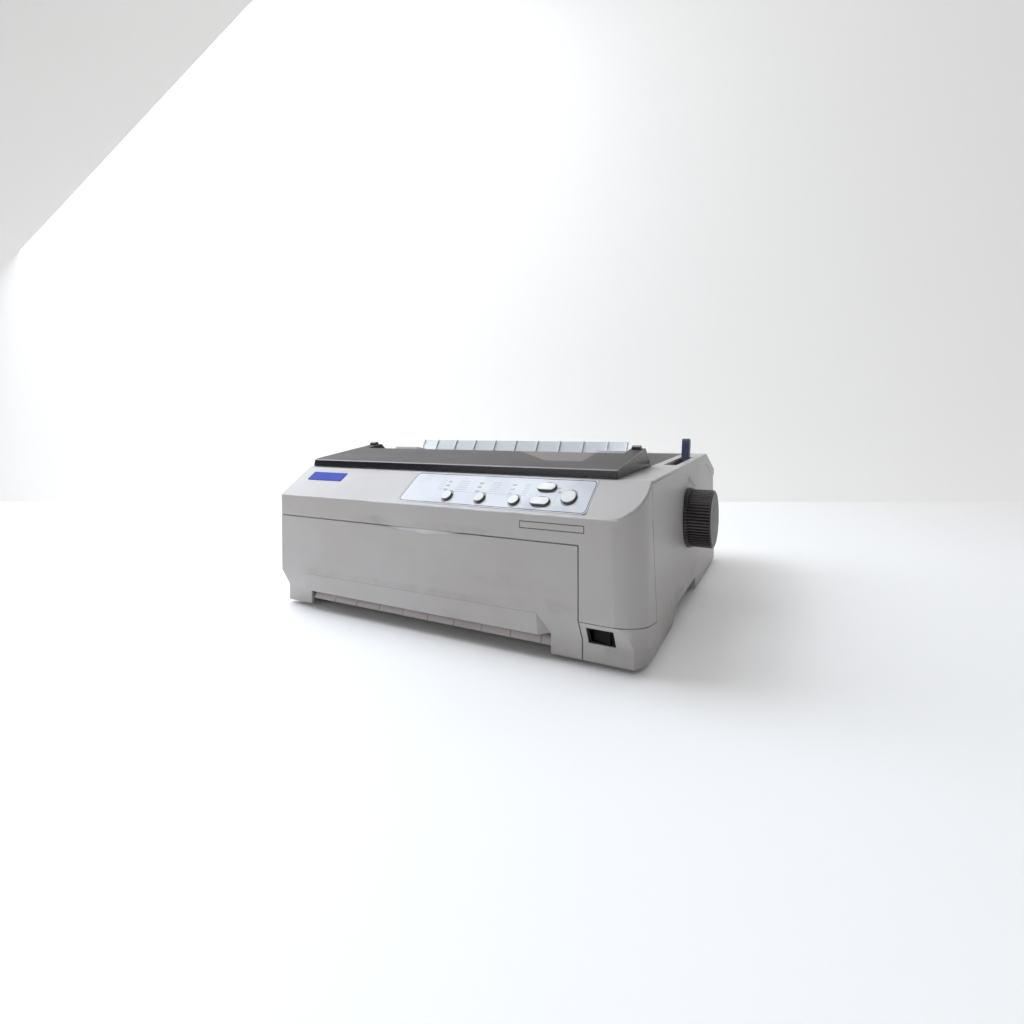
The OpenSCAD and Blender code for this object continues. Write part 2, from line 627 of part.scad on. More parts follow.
// Platen, knob and tractors --------------------------------------------------------
module platen() color(dark) at_home() difference() {
    rod(platen_r, platen_x0, platen_x1, platen_at);
    rod(shaft_r + 0.02, platen_x0 - eps, platen_x1 + eps, platen_at);
}
module platen_shaft() color(steel) at_home() rod(shaft_r, frame_x0 - 3, gear_x + gear_w + 1, platen_at);
module knob_shaft() color(steel) at_home() rod(shaft_r, frame_x1 - 8, body_w + knob_reach - 5, knob_at);
flange_x = body_w + 0.6;
flange_t = 3.7;
function fluted(r, n, depth) = [for (k = [0:n - 1]) let (a = 360 / n)
    each [r * [cos(a * k), sin(a * k)], r * [cos(a * (k + 0.45)), sin(a * (k + 0.45))],
    (r - depth) * [cos(a * (k + 0.6)), sin(a * (k + 0.6))],
    (r - depth) * [cos(a * (k + 0.85)), sin(a * (k + 0.85))]]];
module feed_knob() color(dark) at_home() difference() {
    union() {
        rod(knob_r + 1.5, flange_x, flange_x + flange_t, knob_at);
        translate([flange_x + flange_t - 0.5, knob_at[0], knob_at[1]]) rotate([90, 0, 90])
            linear_extrude(knob_reach - flange_t - 1.1) polygon(fluted(knob_r, knob_flutes, 0.9));
        rod(knob_r - 2, body_w + knob_reach - 2, body_w + knob_reach, knob_at);
    }
    rod(shaft_r + 0.02, body_w, body_w + knob_reach - 5, knob_at);
}
square = 6;
module square_bar(x0, x1, s) translate([x0, tractor_at[0] - s / 2, tractor_at[1] - s / 2]) cube([x1 - x0, s, s]);
module tractor_shaft() color(steel) at_home() {
    square_bar(inner_x0 + 2, inner_x1 - 2, square);
    rod(3, frame_x0 - 3, inner_x0 + 3, tractor_at);
    rod(3, inner_x1 - 3, gear_x + gear_w + 1, tractor_at);
}
left_tractor_x = paper_x - edge_gap / 2 - 2;
right_tractor_x = paper_x + edge_gap / 2 + 2 - tractor_w;
cheek = 3;
hub_r = 5.6;
sprocket_r = 12.13;
sprocket_pins = 6;
flap_z = tractor_at[1] + sprocket_r + 4;
flap_pin_r = 1.5;
module tractor(x, side) {
    y0 = tractor_at[0] - 16;
    y1 = rail_at[0] + 8;
    z0 = tractor_at[1] - sprocket_r - 5;
    z1 = tractor_at[1] + sprocket_r - 1;
    hinge_x = side > 0 ? x + tractor_w : x;
    difference() {
        union() {
            for (c = [x, x + tractor_w - cheek]) box([c, c + cheek], [y0, y1], [z0, z1]);
            box([x, x + tractor_w], [y0, y1], [z0, z0 + 2.5]);
            box([x, x + tractor_w], [rail_at[0] - 7, y1], [z0, rail_at[1] + 7]);
            for (y = [y0 + 2, y1 - 8]) translate([hinge_x, y, flap_z]) {
                rotate([-90, 0, 0]) cylinder(r = 3, h = 6);
                translate([-3 + side * 1.4, 0, z1 - flap_z - 3]) cube([6, 6, 3 + flap_z - z1]);
            }
        }
        rod(hub_r + run_gap, x - eps, x + tractor_w + eps, tractor_at);
        rod(rail_r + run_gap, x - eps, x + tractor_w + eps, rail_at);
        translate([hinge_x, y0 - eps, flap_z]) rotate([-90, 0, 0])
            cylinder(r = flap_pin_r + run_gap, h = y1 - y0 + 2 * eps);
    }
}
module left_tractor() color(dark) at_home() tractor(left_tractor_x, -1);
module right_tractor() color(dark) at_home() tractor(right_tractor_x, 1);
module sprocket(x) difference() {
    union() {
        rod(sprocket_r, x + cheek + free_gap, x + tractor_w - cheek - free_gap, tractor_at);
        rod(hub_r, x, x + tractor_w, tractor_at);
        for (k = [0:sprocket_pins - 1]) translate([x + tractor_w / 2, tractor_at[0], tractor_at[1]])
            rotate([k * 360 / sprocket_pins, 0, 0]) translate([0, 0, sprocket_r - 1])
                cylinder(r1 = 1.8, r2 = 1.1, h = 2.8);
    }
    square_bar(x - eps, x + tractor_w + eps, square + 2 * run_gap);
}
module left_sprocket() color(cream) at_home() sprocket(left_tractor_x);
module right_sprocket() color(cream) at_home() sprocket(right_tractor_x);
module flap(x, side) {
    y0 = tractor_at[0] - 16;
    y1 = rail_at[0] + 8;
    hinge_x = side > 0 ? x + tractor_w : x;
    difference() {
        translate([side > 0 ? x : x + 3.3, y0, flap_z - 0.6]) cube([tractor_w - 3.3, y1 - y0, 2]);
        box([x + tractor_w / 2 - 2.6, x + tractor_w / 2 + 2.6], [tractor_at[0] - 12, tractor_at[0] + 12],
            [flap_z - 2, flap_z + 0.4]);
    }
    translate([side > 0 ? hinge_x - 4 : hinge_x, y0 + 8.4, flap_z - 0.6])
        cube([4, y1 - y0 - 16.8, 2]);
    translate([hinge_x, y0 + 2.5, flap_z]) rotate([-90, 0, 0]) cylinder(r = flap_pin_r, h = y1 - y0 - 5);
}
module left_flap() color(dark) at_home() flap(left_tractor_x, -1);
module right_flap() color(dark) at_home() flap(right_tractor_x, 1);

// Carriage and ribbon ------------------------------------------------------------
carriage_w = 56;
carriage_x0 = paper_x - carriage_w / 2;
carriage_top = carriage_at[1] + 14;
module carriage() color(dark) at_home() {
    difference() {
        box([carriage_x0, carriage_x0 + carriage_w], [carriage_at[0] - 14, carriage_at[0] + 18],
            [carriage_at[1] - 9, carriage_top]);
        rod(carriage_r + run_gap, carriage_x0 - eps, carriage_x0 + carriage_w + eps, carriage_at);
        box([carriage_x0 + 10, carriage_x0 + carriage_w - 10],
            [carriage_at[0] + 9, carriage_at[0] + 19], [carriage_top - 12, carriage_top + eps]);
    }
    // foot on the guide rail
    box([carriage_x0 + 8, carriage_x0 + carriage_w - 8], [rail_y0 + 2, carriage_at[0] - 13],
        [rail_z + free_gap, rail_z + 8]);
    // clamp round the rear run of the belt
    run = belt_y + pulley_r + belt_t / 2;
    difference() {
        box([paper_x - 9, paper_x + 9], [run - 3, run + 3], [belt_z - 2, carriage_at[1] - 8]);
        box([paper_x - 10, paper_x + 10], [run - belt_t / 2 - free_gap, run + belt_t / 2 + free_gap],
            [belt_z - 3, belt_z + belt_h + free_gap]);
    }
}
ribbon_y = platen_at[0] - platen_r - 1.4;
module print_head() color([0.24, 0.24, 0.26]) at_home() {
    y0 = carriage_at[0] - 6;
    y1 = carriage_at[0] + 9;
    z0 = carriage_top;
    for (i = [0:5]) box([paper_x - 15, paper_x + 15], [y0, y1 + 6], [z0 + 2 + i * 3.6, z0 + 3.6 + i * 3.6]);
    box([paper_x - 11, paper_x + 11], [y0 + 2, y1 + 4], [z0, z0 + 21]);
    prism([[y1, z0 - 6], [ribbon_y - 0.7, platen_at[1] - 4], [ribbon_y - 0.7, platen_at[1] + 4],
        [y1, z0 + 12]], paper_x - 6, paper_x + 6);
}
cartridge_z = 122;
cartridge_h = 17;
cartridge_x = [40, inner_x1 - 25];
module ribbon_cartridge() color(dark) at_home() {
    difference() {
        union() {
            box(cartridge_x, [bay_y0 + 5, 66], [cartridge_z, cartridge_z + cartridge_h]);
            for (x = [cartridge_x[0], cartridge_x[1] - 11]) {
                box([x, x + 11], [65, ribbon_y + 1.5], [cartridge_z - 3, cartridge_z + cartridge_h - 5]);
                box([x, x + 11], [ribbon_y - 9, ribbon_y + 1.5], [platen_at[1] - 7, cartridge_z]);
            }
        }
        box([cartridge_x[0] + 2, cartridge_x[1] - 2], [bay_y0 + 7, 64],
            [cartridge_z + 2, cartridge_z + cartridge_h - 2]);
        translate([ribbon_knob_at[0], ribbon_knob_at[1], cartridge_z + cartridge_h - 3])
            cylinder(r = 3 + run_gap, h = 5);
    }
    // the ribbon between the arms
    box([cartridge_x[0] + 10, cartridge_x[1] - 10], [ribbon_y, ribbon_y + 0.3],
        [platen_at[1] - 6, platen_at[1] + 7]);
}
ribbon_knob_at = [74, 53];
module ribbon_knob() color(cream) at_home()
    translate([ribbon_knob_at[0], ribbon_knob_at[1], cartridge_z + cartridge_h]) {
        translate([0, 0, -1.8]) cylinder(r = 3, h = 3);
        difference() {
            translate([0, 0, free_gap]) cylinder(r = 8, h = 5);
            for (k = [0:11]) rotate(k * 30) translate([8.6, 0, 0]) cylinder(r = 1.5, h = 7, $fn = 24);
        }
    }
module gap_lever() color([0.25, 0.42, 0.40]) at_home() difference() {
    union() {
        rod(10, 23.4, 28.6, carriage_at);
        translate([0, carriage_at[0], carriage_at[1]]) rotate([-8, 0, 0]) {
            translate([24, -4, 4]) cube([4, 8, 48]);
            translate([22, -5, 44]) cube([8, 10, 12]);
        }
    }
    rod(carriage_r + run_gap, 20, 32, carriage_at);
}

// Boards and sockets -----------------------------------------------------------------
module main_board() color(board_green) at_home() {
    z = board_z + board_t;
    box(board_x, [200, body_d - 20], [board_z, z]);
    for (x = [62, 104, 146]) box([x, x + 28], [228, 256], [z - 0.1, z + 3]);
    for (x = [60:26:190]) box([x, x + 16], [276, 284], [z - 0.1, z + 3.5]);
    for (x = [10:14:38]) translate([board_x[1] - x, 214, z - 0.1]) cylinder(r = 5, h = 14);
    box([80, 150], [204, 210], [z - 0.1, z + 8]);
}
module data_sockets() color(dark) at_home() {
    z = board_z + board_t;
    difference() {
        box(parallel_x + [0.5, -0.5], [body_d - 28, body_d - 0.4],
            socket_z + [0.5, -0.5]);
        box(parallel_x + [5, -5], [body_d - 12, body_d], socket_z + [4, -4]);
    }
    box(parallel_x + [8, -8], [body_d - 13, body_d - 7], socket_z + [6.6, -6.6]);
    box(parallel_x + [4, -4], [body_d - 28, body_d - 21], [z, socket_z[0] + 1]);
    difference() {
        box(usb_x + [1.5, -1.5], [body_d - 24, body_d - 0.4], socket_z + [1, -2]);
        box(usb_x + [3, -3], [body_d - 12, body_d], socket_z + [2.5, -3.5]);
    }
    box(usb_x + [6, -6], [body_d - 13, body_d - 7], socket_z + [5, -6]);
    box(usb_x + [3, -3], [body_d - 24, body_d - 21], [z, socket_z[0] + 2]);
}
module power_board() color([0.55, 0.47, 0.28]) at_home() {
    z = board_z + board_t;
    box(power_x, [200, body_d - 32], [board_z, z]);
    box([power_x[1] - 86, power_x[1] - 40], [232, 276], [z - 0.1, z + 36]);
    box([power_x[1] - 80, power_x[1] - 46], [226, 282], [z + 6, z + 30]);
    for (y = [214, body_d - 54]) translate([power_x[1] - 22, y, z - 0.1]) cylinder(r = 9, h = 28);
    box([power_x[0] + 4, power_x[0] + 14], [210, body_d - 50], [z - 0.1, z + 26]);
}
module mains_inlet() color(dark) at_home() {
    inlet_mid = (inlet_x[0] + inlet_x[1]) / 2 * [1, 1];
    difference() {
        box(inlet_x + [0.5, -0.5], [body_d - 31.8, body_d - 0.4], inlet_z + [0.5, -0.5]);
        box(inlet_x + [4, -4], [body_d - 16, body_d], inlet_z + [4, -4]);
    }
    for (d = [[-7, 0], [7, 0], [0, 5]])
        box(inlet_mid + [d[0] - 1, d[0] + 1], [body_d - 17, body_d - 4], [30 + d[1], 34 + d[1]]);
}
rocker_x = (switch_x0 + switch_x1) / 2;
rocker_at = [rocker_x, bevel_y + 4];
rocker_w = 17;
module switch_housing() color(dark) at_home() difference() {
    box([switch_x0 + 0.3, switch_x1 - 0.3], [3.4, 24], [switch_z0 + 0.3, switch_z1 - 0.3]);
    box([rocker_x - rocker_w / 2 - 1, rocker_x + rocker_w / 2 + 1], [0, 18],
        [switch_z0 + 1.8, switch_z1 - 1.8]);
    translate([rocker_x, rocker_at[1], 0]) cylinder(r = 1.2 + run_gap, h = 60);
    // sloped mouth, set back with the front of the strip
    prism([[-eps, low_fold_z], [3.4, 34], [bevel_y + 0.6, bevel_z - 2], [-eps, bevel_z - 2]],
        switch_x0, switch_x1);
}
rocker_face = [[-8, -2.2], [0, -3.6], [8, -5.4], [8.3, -2], [2.5, 3], [-2.5, 3], [-8.3, 1]];
module power_rocker() color([0.05, 0.05, 0.06]) at_home() translate([rocker_x, rocker_at[1], 0]) {
    translate([0, 0, switch_z0 + 2.2]) linear_extrude(switch_z1 - switch_z0 - 4.4)
        polygon(rocker_face);
    translate([0, 0, switch_z0 + 0.8]) cylinder(r = 1.2, h = switch_z1 - switch_z0 - 1.6);
}

// Control panel ------------------------------------------------------------------------
badge_at = [17.5, 23];
badge_sink = 0.3;
module badge_shape(grow, h) translate([-grow, -grow, 0]) cube([51.5 + 2 * grow, 11.5 + 2 * grow, h]);
module badge_plate() color([0.27, 0.38, 0.86]) at_home() on_slope(badge_at, -badge_sink) badge_shape(0, 0.9);
button_lift = 2.4;
flange_h = 0.7;
flange_drop = panel_t + free_gap;
module round_bezel(w, l, r, h) {
    translate([0, r, 0]) cube([w, l - r, h]);
    cube([w - r, l, h]);
    translate([w - r, r, 0]) cylinder(r = r, h = h);
}
// A round piece, or a long one with round ends where l is over 2 r
module oval(r, l, h) {
    if (l > 2 * r) {
        for (s = [-1, 1]) translate([s * (l / 2 - r), 0, 0]) cylinder(r = r, h = h);
        translate([-l / 2 + r, -r, 0]) cube([l - 2 * r, 2 * r, h]);
    } else cylinder(r = r, h = h);
}
module control_bezel() color([0.80, 0.81, 0.83]) at_home() difference() {
    on_slope([panel_x0 + 0.15, panel_s0 + 0.15], -panel_t)
        round_bezel(panel_x1 - panel_x0 - 0.3, panel_s1 - panel_s0 - 0.3, 5, panel_t);
    for (p = [font_at, pitch_at, tear_at]) on_slope(p, -5) cylinder(r = button_r + free_gap, h = 10);
    on_slope(pause_at, -5) cylinder(r = large_button_r + free_gap, h = 10);
    for (p = [line_feed_at, load_at]) on_slope(p, -5) oval(oval_r + free_gap, oval_l + 2 * free_gap, 10);
    lamps(0.15, -5, 10);
}
module lamps(grow, z, h) {
    for (x = lamp_x, s = lamp_s) on_slope([x - 2 - grow, s - 0.7 - grow], z)
        cube([4 + 2 * grow, 1.4 + 2 * grow, h]);
    for (p = [pause_at + [-14, 10], line_feed_at + [14, 12]]) on_slope(p - [1.5 + grow, 0.7 + grow], z)
        cube([3 + 2 * grow, 1.4 + 2 * grow, h]);
}
module indicator_lamps() color([0.75, 0.72, 0.62]) at_home() lamps(0, -board_drop, board_drop + 0.15);
module panel_board() color(board_green) at_home() {
    on_slope([panel_x0 + 8.3, panel_s0 + 4.3], -board_drop - board_t)
        cube([panel_x1 - panel_x0 - 16.6, 28.5, board_t]);
    for (p = [font_at, pitch_at, tear_at, line_feed_at, load_at, pause_at])
        on_slope(p - [3, 3], -board_drop - 0.1) cube([6, 6, 1.4]);
    // legs up to the underside of the bezel
    for (x = [panel_x0 + 10, panel_x1 - 14], s = [panel_s0 + 5, panel_s0 + 29])
        on_slope([x, s], -board_drop - 0.1) cube([3, 3, board_drop - panel_t + 0.1]);
}
stem_gap = button_travel + 0.15;
module button(at, r, l) on_slope(at) {
    translate([0, 0, -flange_drop]) oval(r, l, flange_drop + button_lift);
    translate([0, 0, -flange_drop - flange_h]) oval(r + 1, l + 2, flange_h);
    translate([0, 0, -board_drop + 1.3 + stem_gap]) cylinder(r = 2, h = board_drop - 1.5 - stem_gap);
}
module font_button() color(cream) at_home() button(font_at, button_r, 2 * button_r);
module pitch_button() color(cream) at_home() button(pitch_at, button_r, 2 * button_r);
module tear_off_button() color(cream) at_home() button(tear_at, button_r, 2 * button_r);
module line_feed_button() color(cream) at_home() button(line_feed_at, oval_r, oval_l);
module load_button() color(cream) at_home() button(load_at, oval_r, oval_l);
module pause_button() color(cream) at_home() button(pause_at, large_button_r, 2 * large_button_r);

// Printer cover -----------------------------------------------------------------------------
lid_y0 = slope_y - 1;
lid_z0 = deck_at(lid_y0) + free_gap;
lid_rise = tan(10.8);
lid_front_top = [lid_y0 + 4, lid_z0 + 8.6];
lid_back_top = [lid_back_y, lid_front_top[1] + (lid_back_y - lid_front_top[0]) * lid_rise];
ear_top = [lid_back_y + 22, lid_back_top[1] + 22 * lid_rise];
ear_back = [lid_hinge[0] + 7.5, lid_hinge[1] + 8];
ear_low = lid_hinge + [5, -5];
ear_front = lid_hinge + [-6, -5];
side_foot = [ear_y0 + 4, deck_at(ear_y0 + 4) + free_gap];
module printer_cover() color(smoke) at_home() {
    // front band and top
    prism([[lid_y0, lid_z0], [lid_y0 + lid_t, lid_z0], lid_front_top + [-0.6, -lid_t],
        lid_back_top + [0, -lid_t], lid_back_top, lid_front_top, [lid_y0 + 1, lid_front_top[1] - 1.6]],
        lid_x0, lid_x1);
    side = [[lid_y0, lid_z0], side_foot, ear_front, ear_low, ear_back, ear_top, lid_back_top,
        lid_front_top, [lid_y0 + 1, lid_front_top[1] - 1.6]];
    for (x = [lid_x0, lid_x1 - lid_t]) prism(side, x, x + lid_t);
    // ears: a second cheek and the skin over both
    cheek_outline = [[lid_back_y - 1, lid_back_top[1] - 9], [ear_y0 + 2, deck_at(ear_y0) + 1.5],
        ear_front, ear_low, ear_back, ear_top, lid_back_top];
    skin = [lid_back_top + [-1, -lid_t], ear_top + [-1, -lid_t], ear_back + [-2.6, -0.5],
        ear_low + [-2.6, 0], ear_low, ear_back, ear_top, lid_back_top];
    for (s = [0, 1]) {
        x = s == 0 ? lid_x0 : lid_x1 - ear_w;
        prism(cheek_outline, s == 0 ? x + ear_w - lid_t : x, s == 0 ? x + ear_w : x + lid_t);
        prism(skin, x, x + ear_w);
        // knuckle on top of the ear
        rod(2.7, x + 3, x + ear_w - 3, ear_top + [-5, 0.4]);
        rod(5, s == 0 ? lid_x0 : lid_x1 - lid_t - 3, s == 0 ? lid_x0 + lid_t + 3 : lid_x1, lid_hinge);
    }
    rod(lid_pin_r, lid_x1 - 1, rear_bay_x1 + 4.5, lid_hinge);
    rod(lid_pin_r, wall + 0.4, lid_x0 + 1, lid_hinge);
}

// Sheet guide and its edge guides --------------------------------------------------------------
guide_x0 = paper_x - guide_w / 2;
guide_t = 2.4;
rib_h = 1.4;
band_l = 38;
module on_guide() translate([0, guide_hinge[0], guide_hinge[1]]) rotate([guide_lean, 0, 0]) children();
module sheet_guide() color([0.80, 0.82, 0.86]) at_home() {
    on_guide() {
        translate([guide_x0, 2, -guide_t]) cube([guide_w, guide_l - 2, guide_t]);
        translate([band_x[0], 2, -guide_t]) cube([band_x[1] - band_x[0], band_l - 2, guide_t]);
        for (i = [-4:4]) translate([paper_x + i * rib_pitch - 0.6, band_l + 7, -0.5])
            cube([1.2, guide_l - band_l - 7, rib_h + 0.5]);
        for (x = [guide_x0, guide_x0 + guide_w - 1.4]) translate([x, band_l + 7, -0.5])
            cube([1.4, guide_l - band_l - 7, rib_h + 0.5]);
    }
    for (x = [band_x[0], band_x[1] - 8]) {
        rod(3.4, x + 0.2, x + 7.8, guide_hinge);
        on_guide() translate([x, 0.5, -guide_t]) cube([8, 4, guide_t]);
    }
    rod(2, guide_ear_x[0] - 0.5, band_x[0] + 1, guide_hinge);
    rod(2, band_x[1] - 1, guide_ear_x[1] + guide_ear_w + 0.5, guide_hinge);
}
guide_ear_w = 4;
guide_ear_x = [band_x[0] - 0.4 - guide_ear_w, band_x[1] + 0.4];
function guide_point(u, v) = guide_hinge + u * [cos(guide_lean), sin(guide_lean)]
    + v * [-sin(guide_lean), cos(guide_lean)];
edge_outline = [guide_point(9, free_gap), guide_point(band_l + 5, free_gap), guide_point(35, 30),
    guide_point(13, 24)];
module edge_guide(x) difference() {
    prism(edge_outline, x, x + edge_w);
    prism([edge_outline[0] + [2, -6], guide_point(band_l + 2.4, free_gap + 2),
        guide_point(33.4, 27.2), guide_point(12, 21) + [1, -6]], x + 2, x + edge_w - 2);
}
module left_edge_guide() color([0.78, 0.78, 0.78]) at_home() edge_guide(paper_x - edge_gap / 2 - edge_w);
module right_edge_guide() color([0.78, 0.78, 0.78]) at_home() edge_guide(paper_x + edge_gap / 2);
module rear_paper_guide() color(dark) at_home() {
    r = platen_r + 3;
    prism(concat(arc(platen_at, r, -70, -4, 10), [platen_at + [r, 12], platen_at + [r + 2, 12]],
        arc(platen_at, r + 2, -2, -70, 10)), inner_x0, inner_x1);
    // under the platen it stops short of the feed motor
    prism(concat(arc(platen_at, r, -100, -68, 6), arc(platen_at, r + 2, -68, -100, 6)),
        inner_x0, motor_face_x - 2);
    for (x = guide_ear_x) difference() {
        union() {
            rod(5, x, x + guide_ear_w, guide_hinge);
            prism([guide_hinge + [-5, 0], guide_hinge + [-5, -8], platen_at + [r + 0.4, 0],
                platen_at + [r + 2, 0], platen_at + [r + 2, 13], guide_hinge + [5, 0]],
                x, x + guide_ear_w);
        }
        rod(2 + run_gap, x - eps, x + guide_ear_w + eps, guide_hinge);
    }
}

// Release lever ---------------------------------------------------------------------------------
lever_x = body_w - 19;
lever_lean = 11.7;
lever_l = (lever_tip_z - lever_hinge[1]) / cos(lever_lean);
module release_lever() color([0.24, 0.28, 0.45]) at_home() difference() {
    union() {
        rod(8, lever_x, lever_x + lever_w, lever_hinge);
        translate([lever_x, lever_hinge[0], lever_hinge[1]]) rotate([-lever_lean, 0, 0]) {
            translate([1.5, -4, 0]) cube([lever_w - 3, 8, lever_l - 24]);
            translate([0, -4.5, lever_l - 28]) cube([lever_w, 9, 28 - 4.5]);
            translate([0, 0, lever_l - 4.5]) rotate([0, 90, 0]) cylinder(r = 4.5, h = lever_w);
        }
    }
    rod(3 + run_gap, lever_x - eps, lever_x + lever_w + eps, lever_hinge);
    // grip grooves
    translate([lever_x, lever_hinge[0], lever_hinge[1]]) rotate([-lever_lean, 0, 0])
        for (i = [0:6]) translate([-eps, -5.5, lever_l - 25 + i * 2.8]) cube([lever_w + 2 * eps, 1.6, 1.2]);
}

lower_case();
upper_case();
control_bezel();
badge_plate();
rubber_feet();
front_paper_guide();
chassis_plate();
left_side_frame();
right_side_frame();
carriage_shaft();
guide_rail();
carriage_motor();
drive_belt();
motor_pulley();
idler_pulley();
feed_motor();
feed_pinion();
main_board();
data_sockets();
power_board();
mains_inlet();
switch_housing();
power_rocker();
case_screws();
panel_board();
indicator_lamps();
platen();
platen_shaft();
platen_gear();
feed_knob();
knob_shaft();
knob_gear();
idler_gear();
tractor_rail();
tractor_shaft();
tractor_gear();
left_tractor();
right_tractor();
left_sprocket();
right_sprocket();
left_flap();
right_flap();
carriage();
print_head();
ribbon_cartridge();
ribbon_knob();
gap_lever();
front_cover();
printer_cover();
sheet_guide();
left_edge_guide();
right_edge_guide();
release_lever();
rear_paper_guide();
font_button();
pitch_button();
tear_off_button();
line_feed_button();
load_button();
pause_button();
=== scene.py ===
"""Looks of the dot matrix printer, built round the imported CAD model.

Lengths are metres in the part's frame. A name that ends in _mm is in millimetres.
"""

import json
import logging
import math
from dataclasses import dataclass, field
from enum import Enum
from typing import Callable

import bmesh
import bpy
from mathutils import Matrix, Vector


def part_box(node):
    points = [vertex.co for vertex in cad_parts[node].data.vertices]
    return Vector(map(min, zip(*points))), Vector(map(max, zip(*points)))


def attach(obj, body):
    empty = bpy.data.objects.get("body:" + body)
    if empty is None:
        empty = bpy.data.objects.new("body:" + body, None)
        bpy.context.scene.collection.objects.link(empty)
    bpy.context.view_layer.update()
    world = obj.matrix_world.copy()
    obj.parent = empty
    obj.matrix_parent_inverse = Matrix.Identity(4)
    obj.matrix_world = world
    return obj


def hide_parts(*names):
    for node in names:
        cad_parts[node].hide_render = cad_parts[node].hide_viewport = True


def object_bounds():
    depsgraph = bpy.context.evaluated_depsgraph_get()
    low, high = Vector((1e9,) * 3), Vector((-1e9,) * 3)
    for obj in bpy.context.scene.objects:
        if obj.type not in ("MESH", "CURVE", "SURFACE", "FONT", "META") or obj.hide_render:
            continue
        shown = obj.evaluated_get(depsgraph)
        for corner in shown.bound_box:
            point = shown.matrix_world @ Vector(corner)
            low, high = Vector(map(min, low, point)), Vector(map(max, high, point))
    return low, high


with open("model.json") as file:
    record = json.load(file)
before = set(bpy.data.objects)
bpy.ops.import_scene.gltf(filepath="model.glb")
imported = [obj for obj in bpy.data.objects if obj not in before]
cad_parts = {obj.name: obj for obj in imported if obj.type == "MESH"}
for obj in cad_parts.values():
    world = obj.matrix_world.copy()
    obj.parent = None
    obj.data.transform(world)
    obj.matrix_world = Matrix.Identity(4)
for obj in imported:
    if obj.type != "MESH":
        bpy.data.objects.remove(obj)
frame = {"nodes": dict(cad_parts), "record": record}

LOG = logging.getLogger("printer")
CAD_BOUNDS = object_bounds()
MM = 0.001
SHARP_DEG = 30.0
MERGE_MM = 0.01
FLAT_DEG = 0.6
LEAST_DEPTH_SHARE = 1.7
SHARPEST_CORNER = math.radians(26.0)
PANEL_SLOPE = 0.71236
SENSOR_MM = 36.0
Colour = tuple[float, float, float]
# Colour of the painted highlight along the casing's fold between slope and front.
HIGHLIGHT_WHITE: Colour = (0.86, 0.87, 0.9)

CORNER = Vector((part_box("lower_case")[0].x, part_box("upper_case")[0].y, 0.0))


def corner(x_mm: float, y_mm: float, z_mm: float) -> Vector:
    """Give a place counted from the casing's left front bottom corner.

    Args:
        x_mm: millimetres to the right of the left wall.
        y_mm: millimetres behind the front face.
        z_mm: millimetres above the table.

    Returns:
        The place in the part's frame, in metres.
    """
    return CORNER + Vector((x_mm, y_mm, z_mm)) * MM


class Body(str, Enum):
    """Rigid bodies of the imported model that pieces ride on."""

    CASING = "casing"
    FRONT_COVER = "front_cover"


# Shader graphs ------------------------------------------------------------------


class Value:
    """A shader output that takes part in Python arithmetic."""

    def __init__(self, graph: "Graph", socket: bpy.types.NodeSocket) -> None:
        """Wrap a socket of a graph's node."""
        self.graph = graph
        self.socket = socket

    def math(self, operation: str, *others: "Value | float", clamp: bool = False) -> "Value":
        """Add a Math node that starts from this value.

        Args:
            operation: name of the Math node's operation.
            others: the further operands, in order.
            clamp: whether the result is kept between 0 and 1.

        Returns:
            The node's result.
        """
        inputs = {0: self} | {i + 1: other for i, other in enumerate(others)}
        node = self.graph.node("ShaderNodeMath", inputs, operation=operation, use_clamp=clamp)
        return Value(self.graph, node.outputs[0])

    def __add__(self, other: "Value | float") -> "Value":
        """Add."""
        return self.math("ADD", other)

    __radd__ = __add__

    def __mul__(self, other: "Value | float") -> "Value":
        """Multiply."""
        return self.math("MULTIPLY", other)

    __rmul__ = __mul__

    def __sub__(self, other: "Value | float") -> "Value":
        """Subtract."""
        return self.math("SUBTRACT", other)

    def __rsub__(self, other: float) -> "Value":
        """Subtract from a number."""
        return (self * -1.0) + other

    def __truediv__(self, other: "Value | float") -> "Value":
        """Divide."""
        return self.math("DIVIDE", other)

    def __abs__(self) -> "Value":
        """Drop the sign."""
        return self.math("ABSOLUTE")

    def between(self, low: float, high: float) -> "Value":
        """Rise smoothly from 0 at low to 1 at high; low may be the larger one."""
        if low > high:
            return 1.0 - self.between(high, low)
        node = self.graph.node(
            "ShaderNodeMapRange", {"Value": self, 1: low, 2: high}, interpolation_type="SMOOTHSTEP"
        )
        return Value(self.graph, node.outputs[0])

    def band(self, low: float, high: float, soft: float) -> "Value":
        """Give 1 from low to high and 0 elsewhere, with edges that are soft wide."""
        return self.between(low - soft, low) * self.between(high + soft, high)

    def clamp(self) -> "Value":
        """Keep the value between 0 and 1."""
        return self.math("ADD", 0.0, clamp=True)

    def most(self, other: "Value | float") -> "Value":
        """Take the larger of two values."""
        return self.math("MAXIMUM", other)


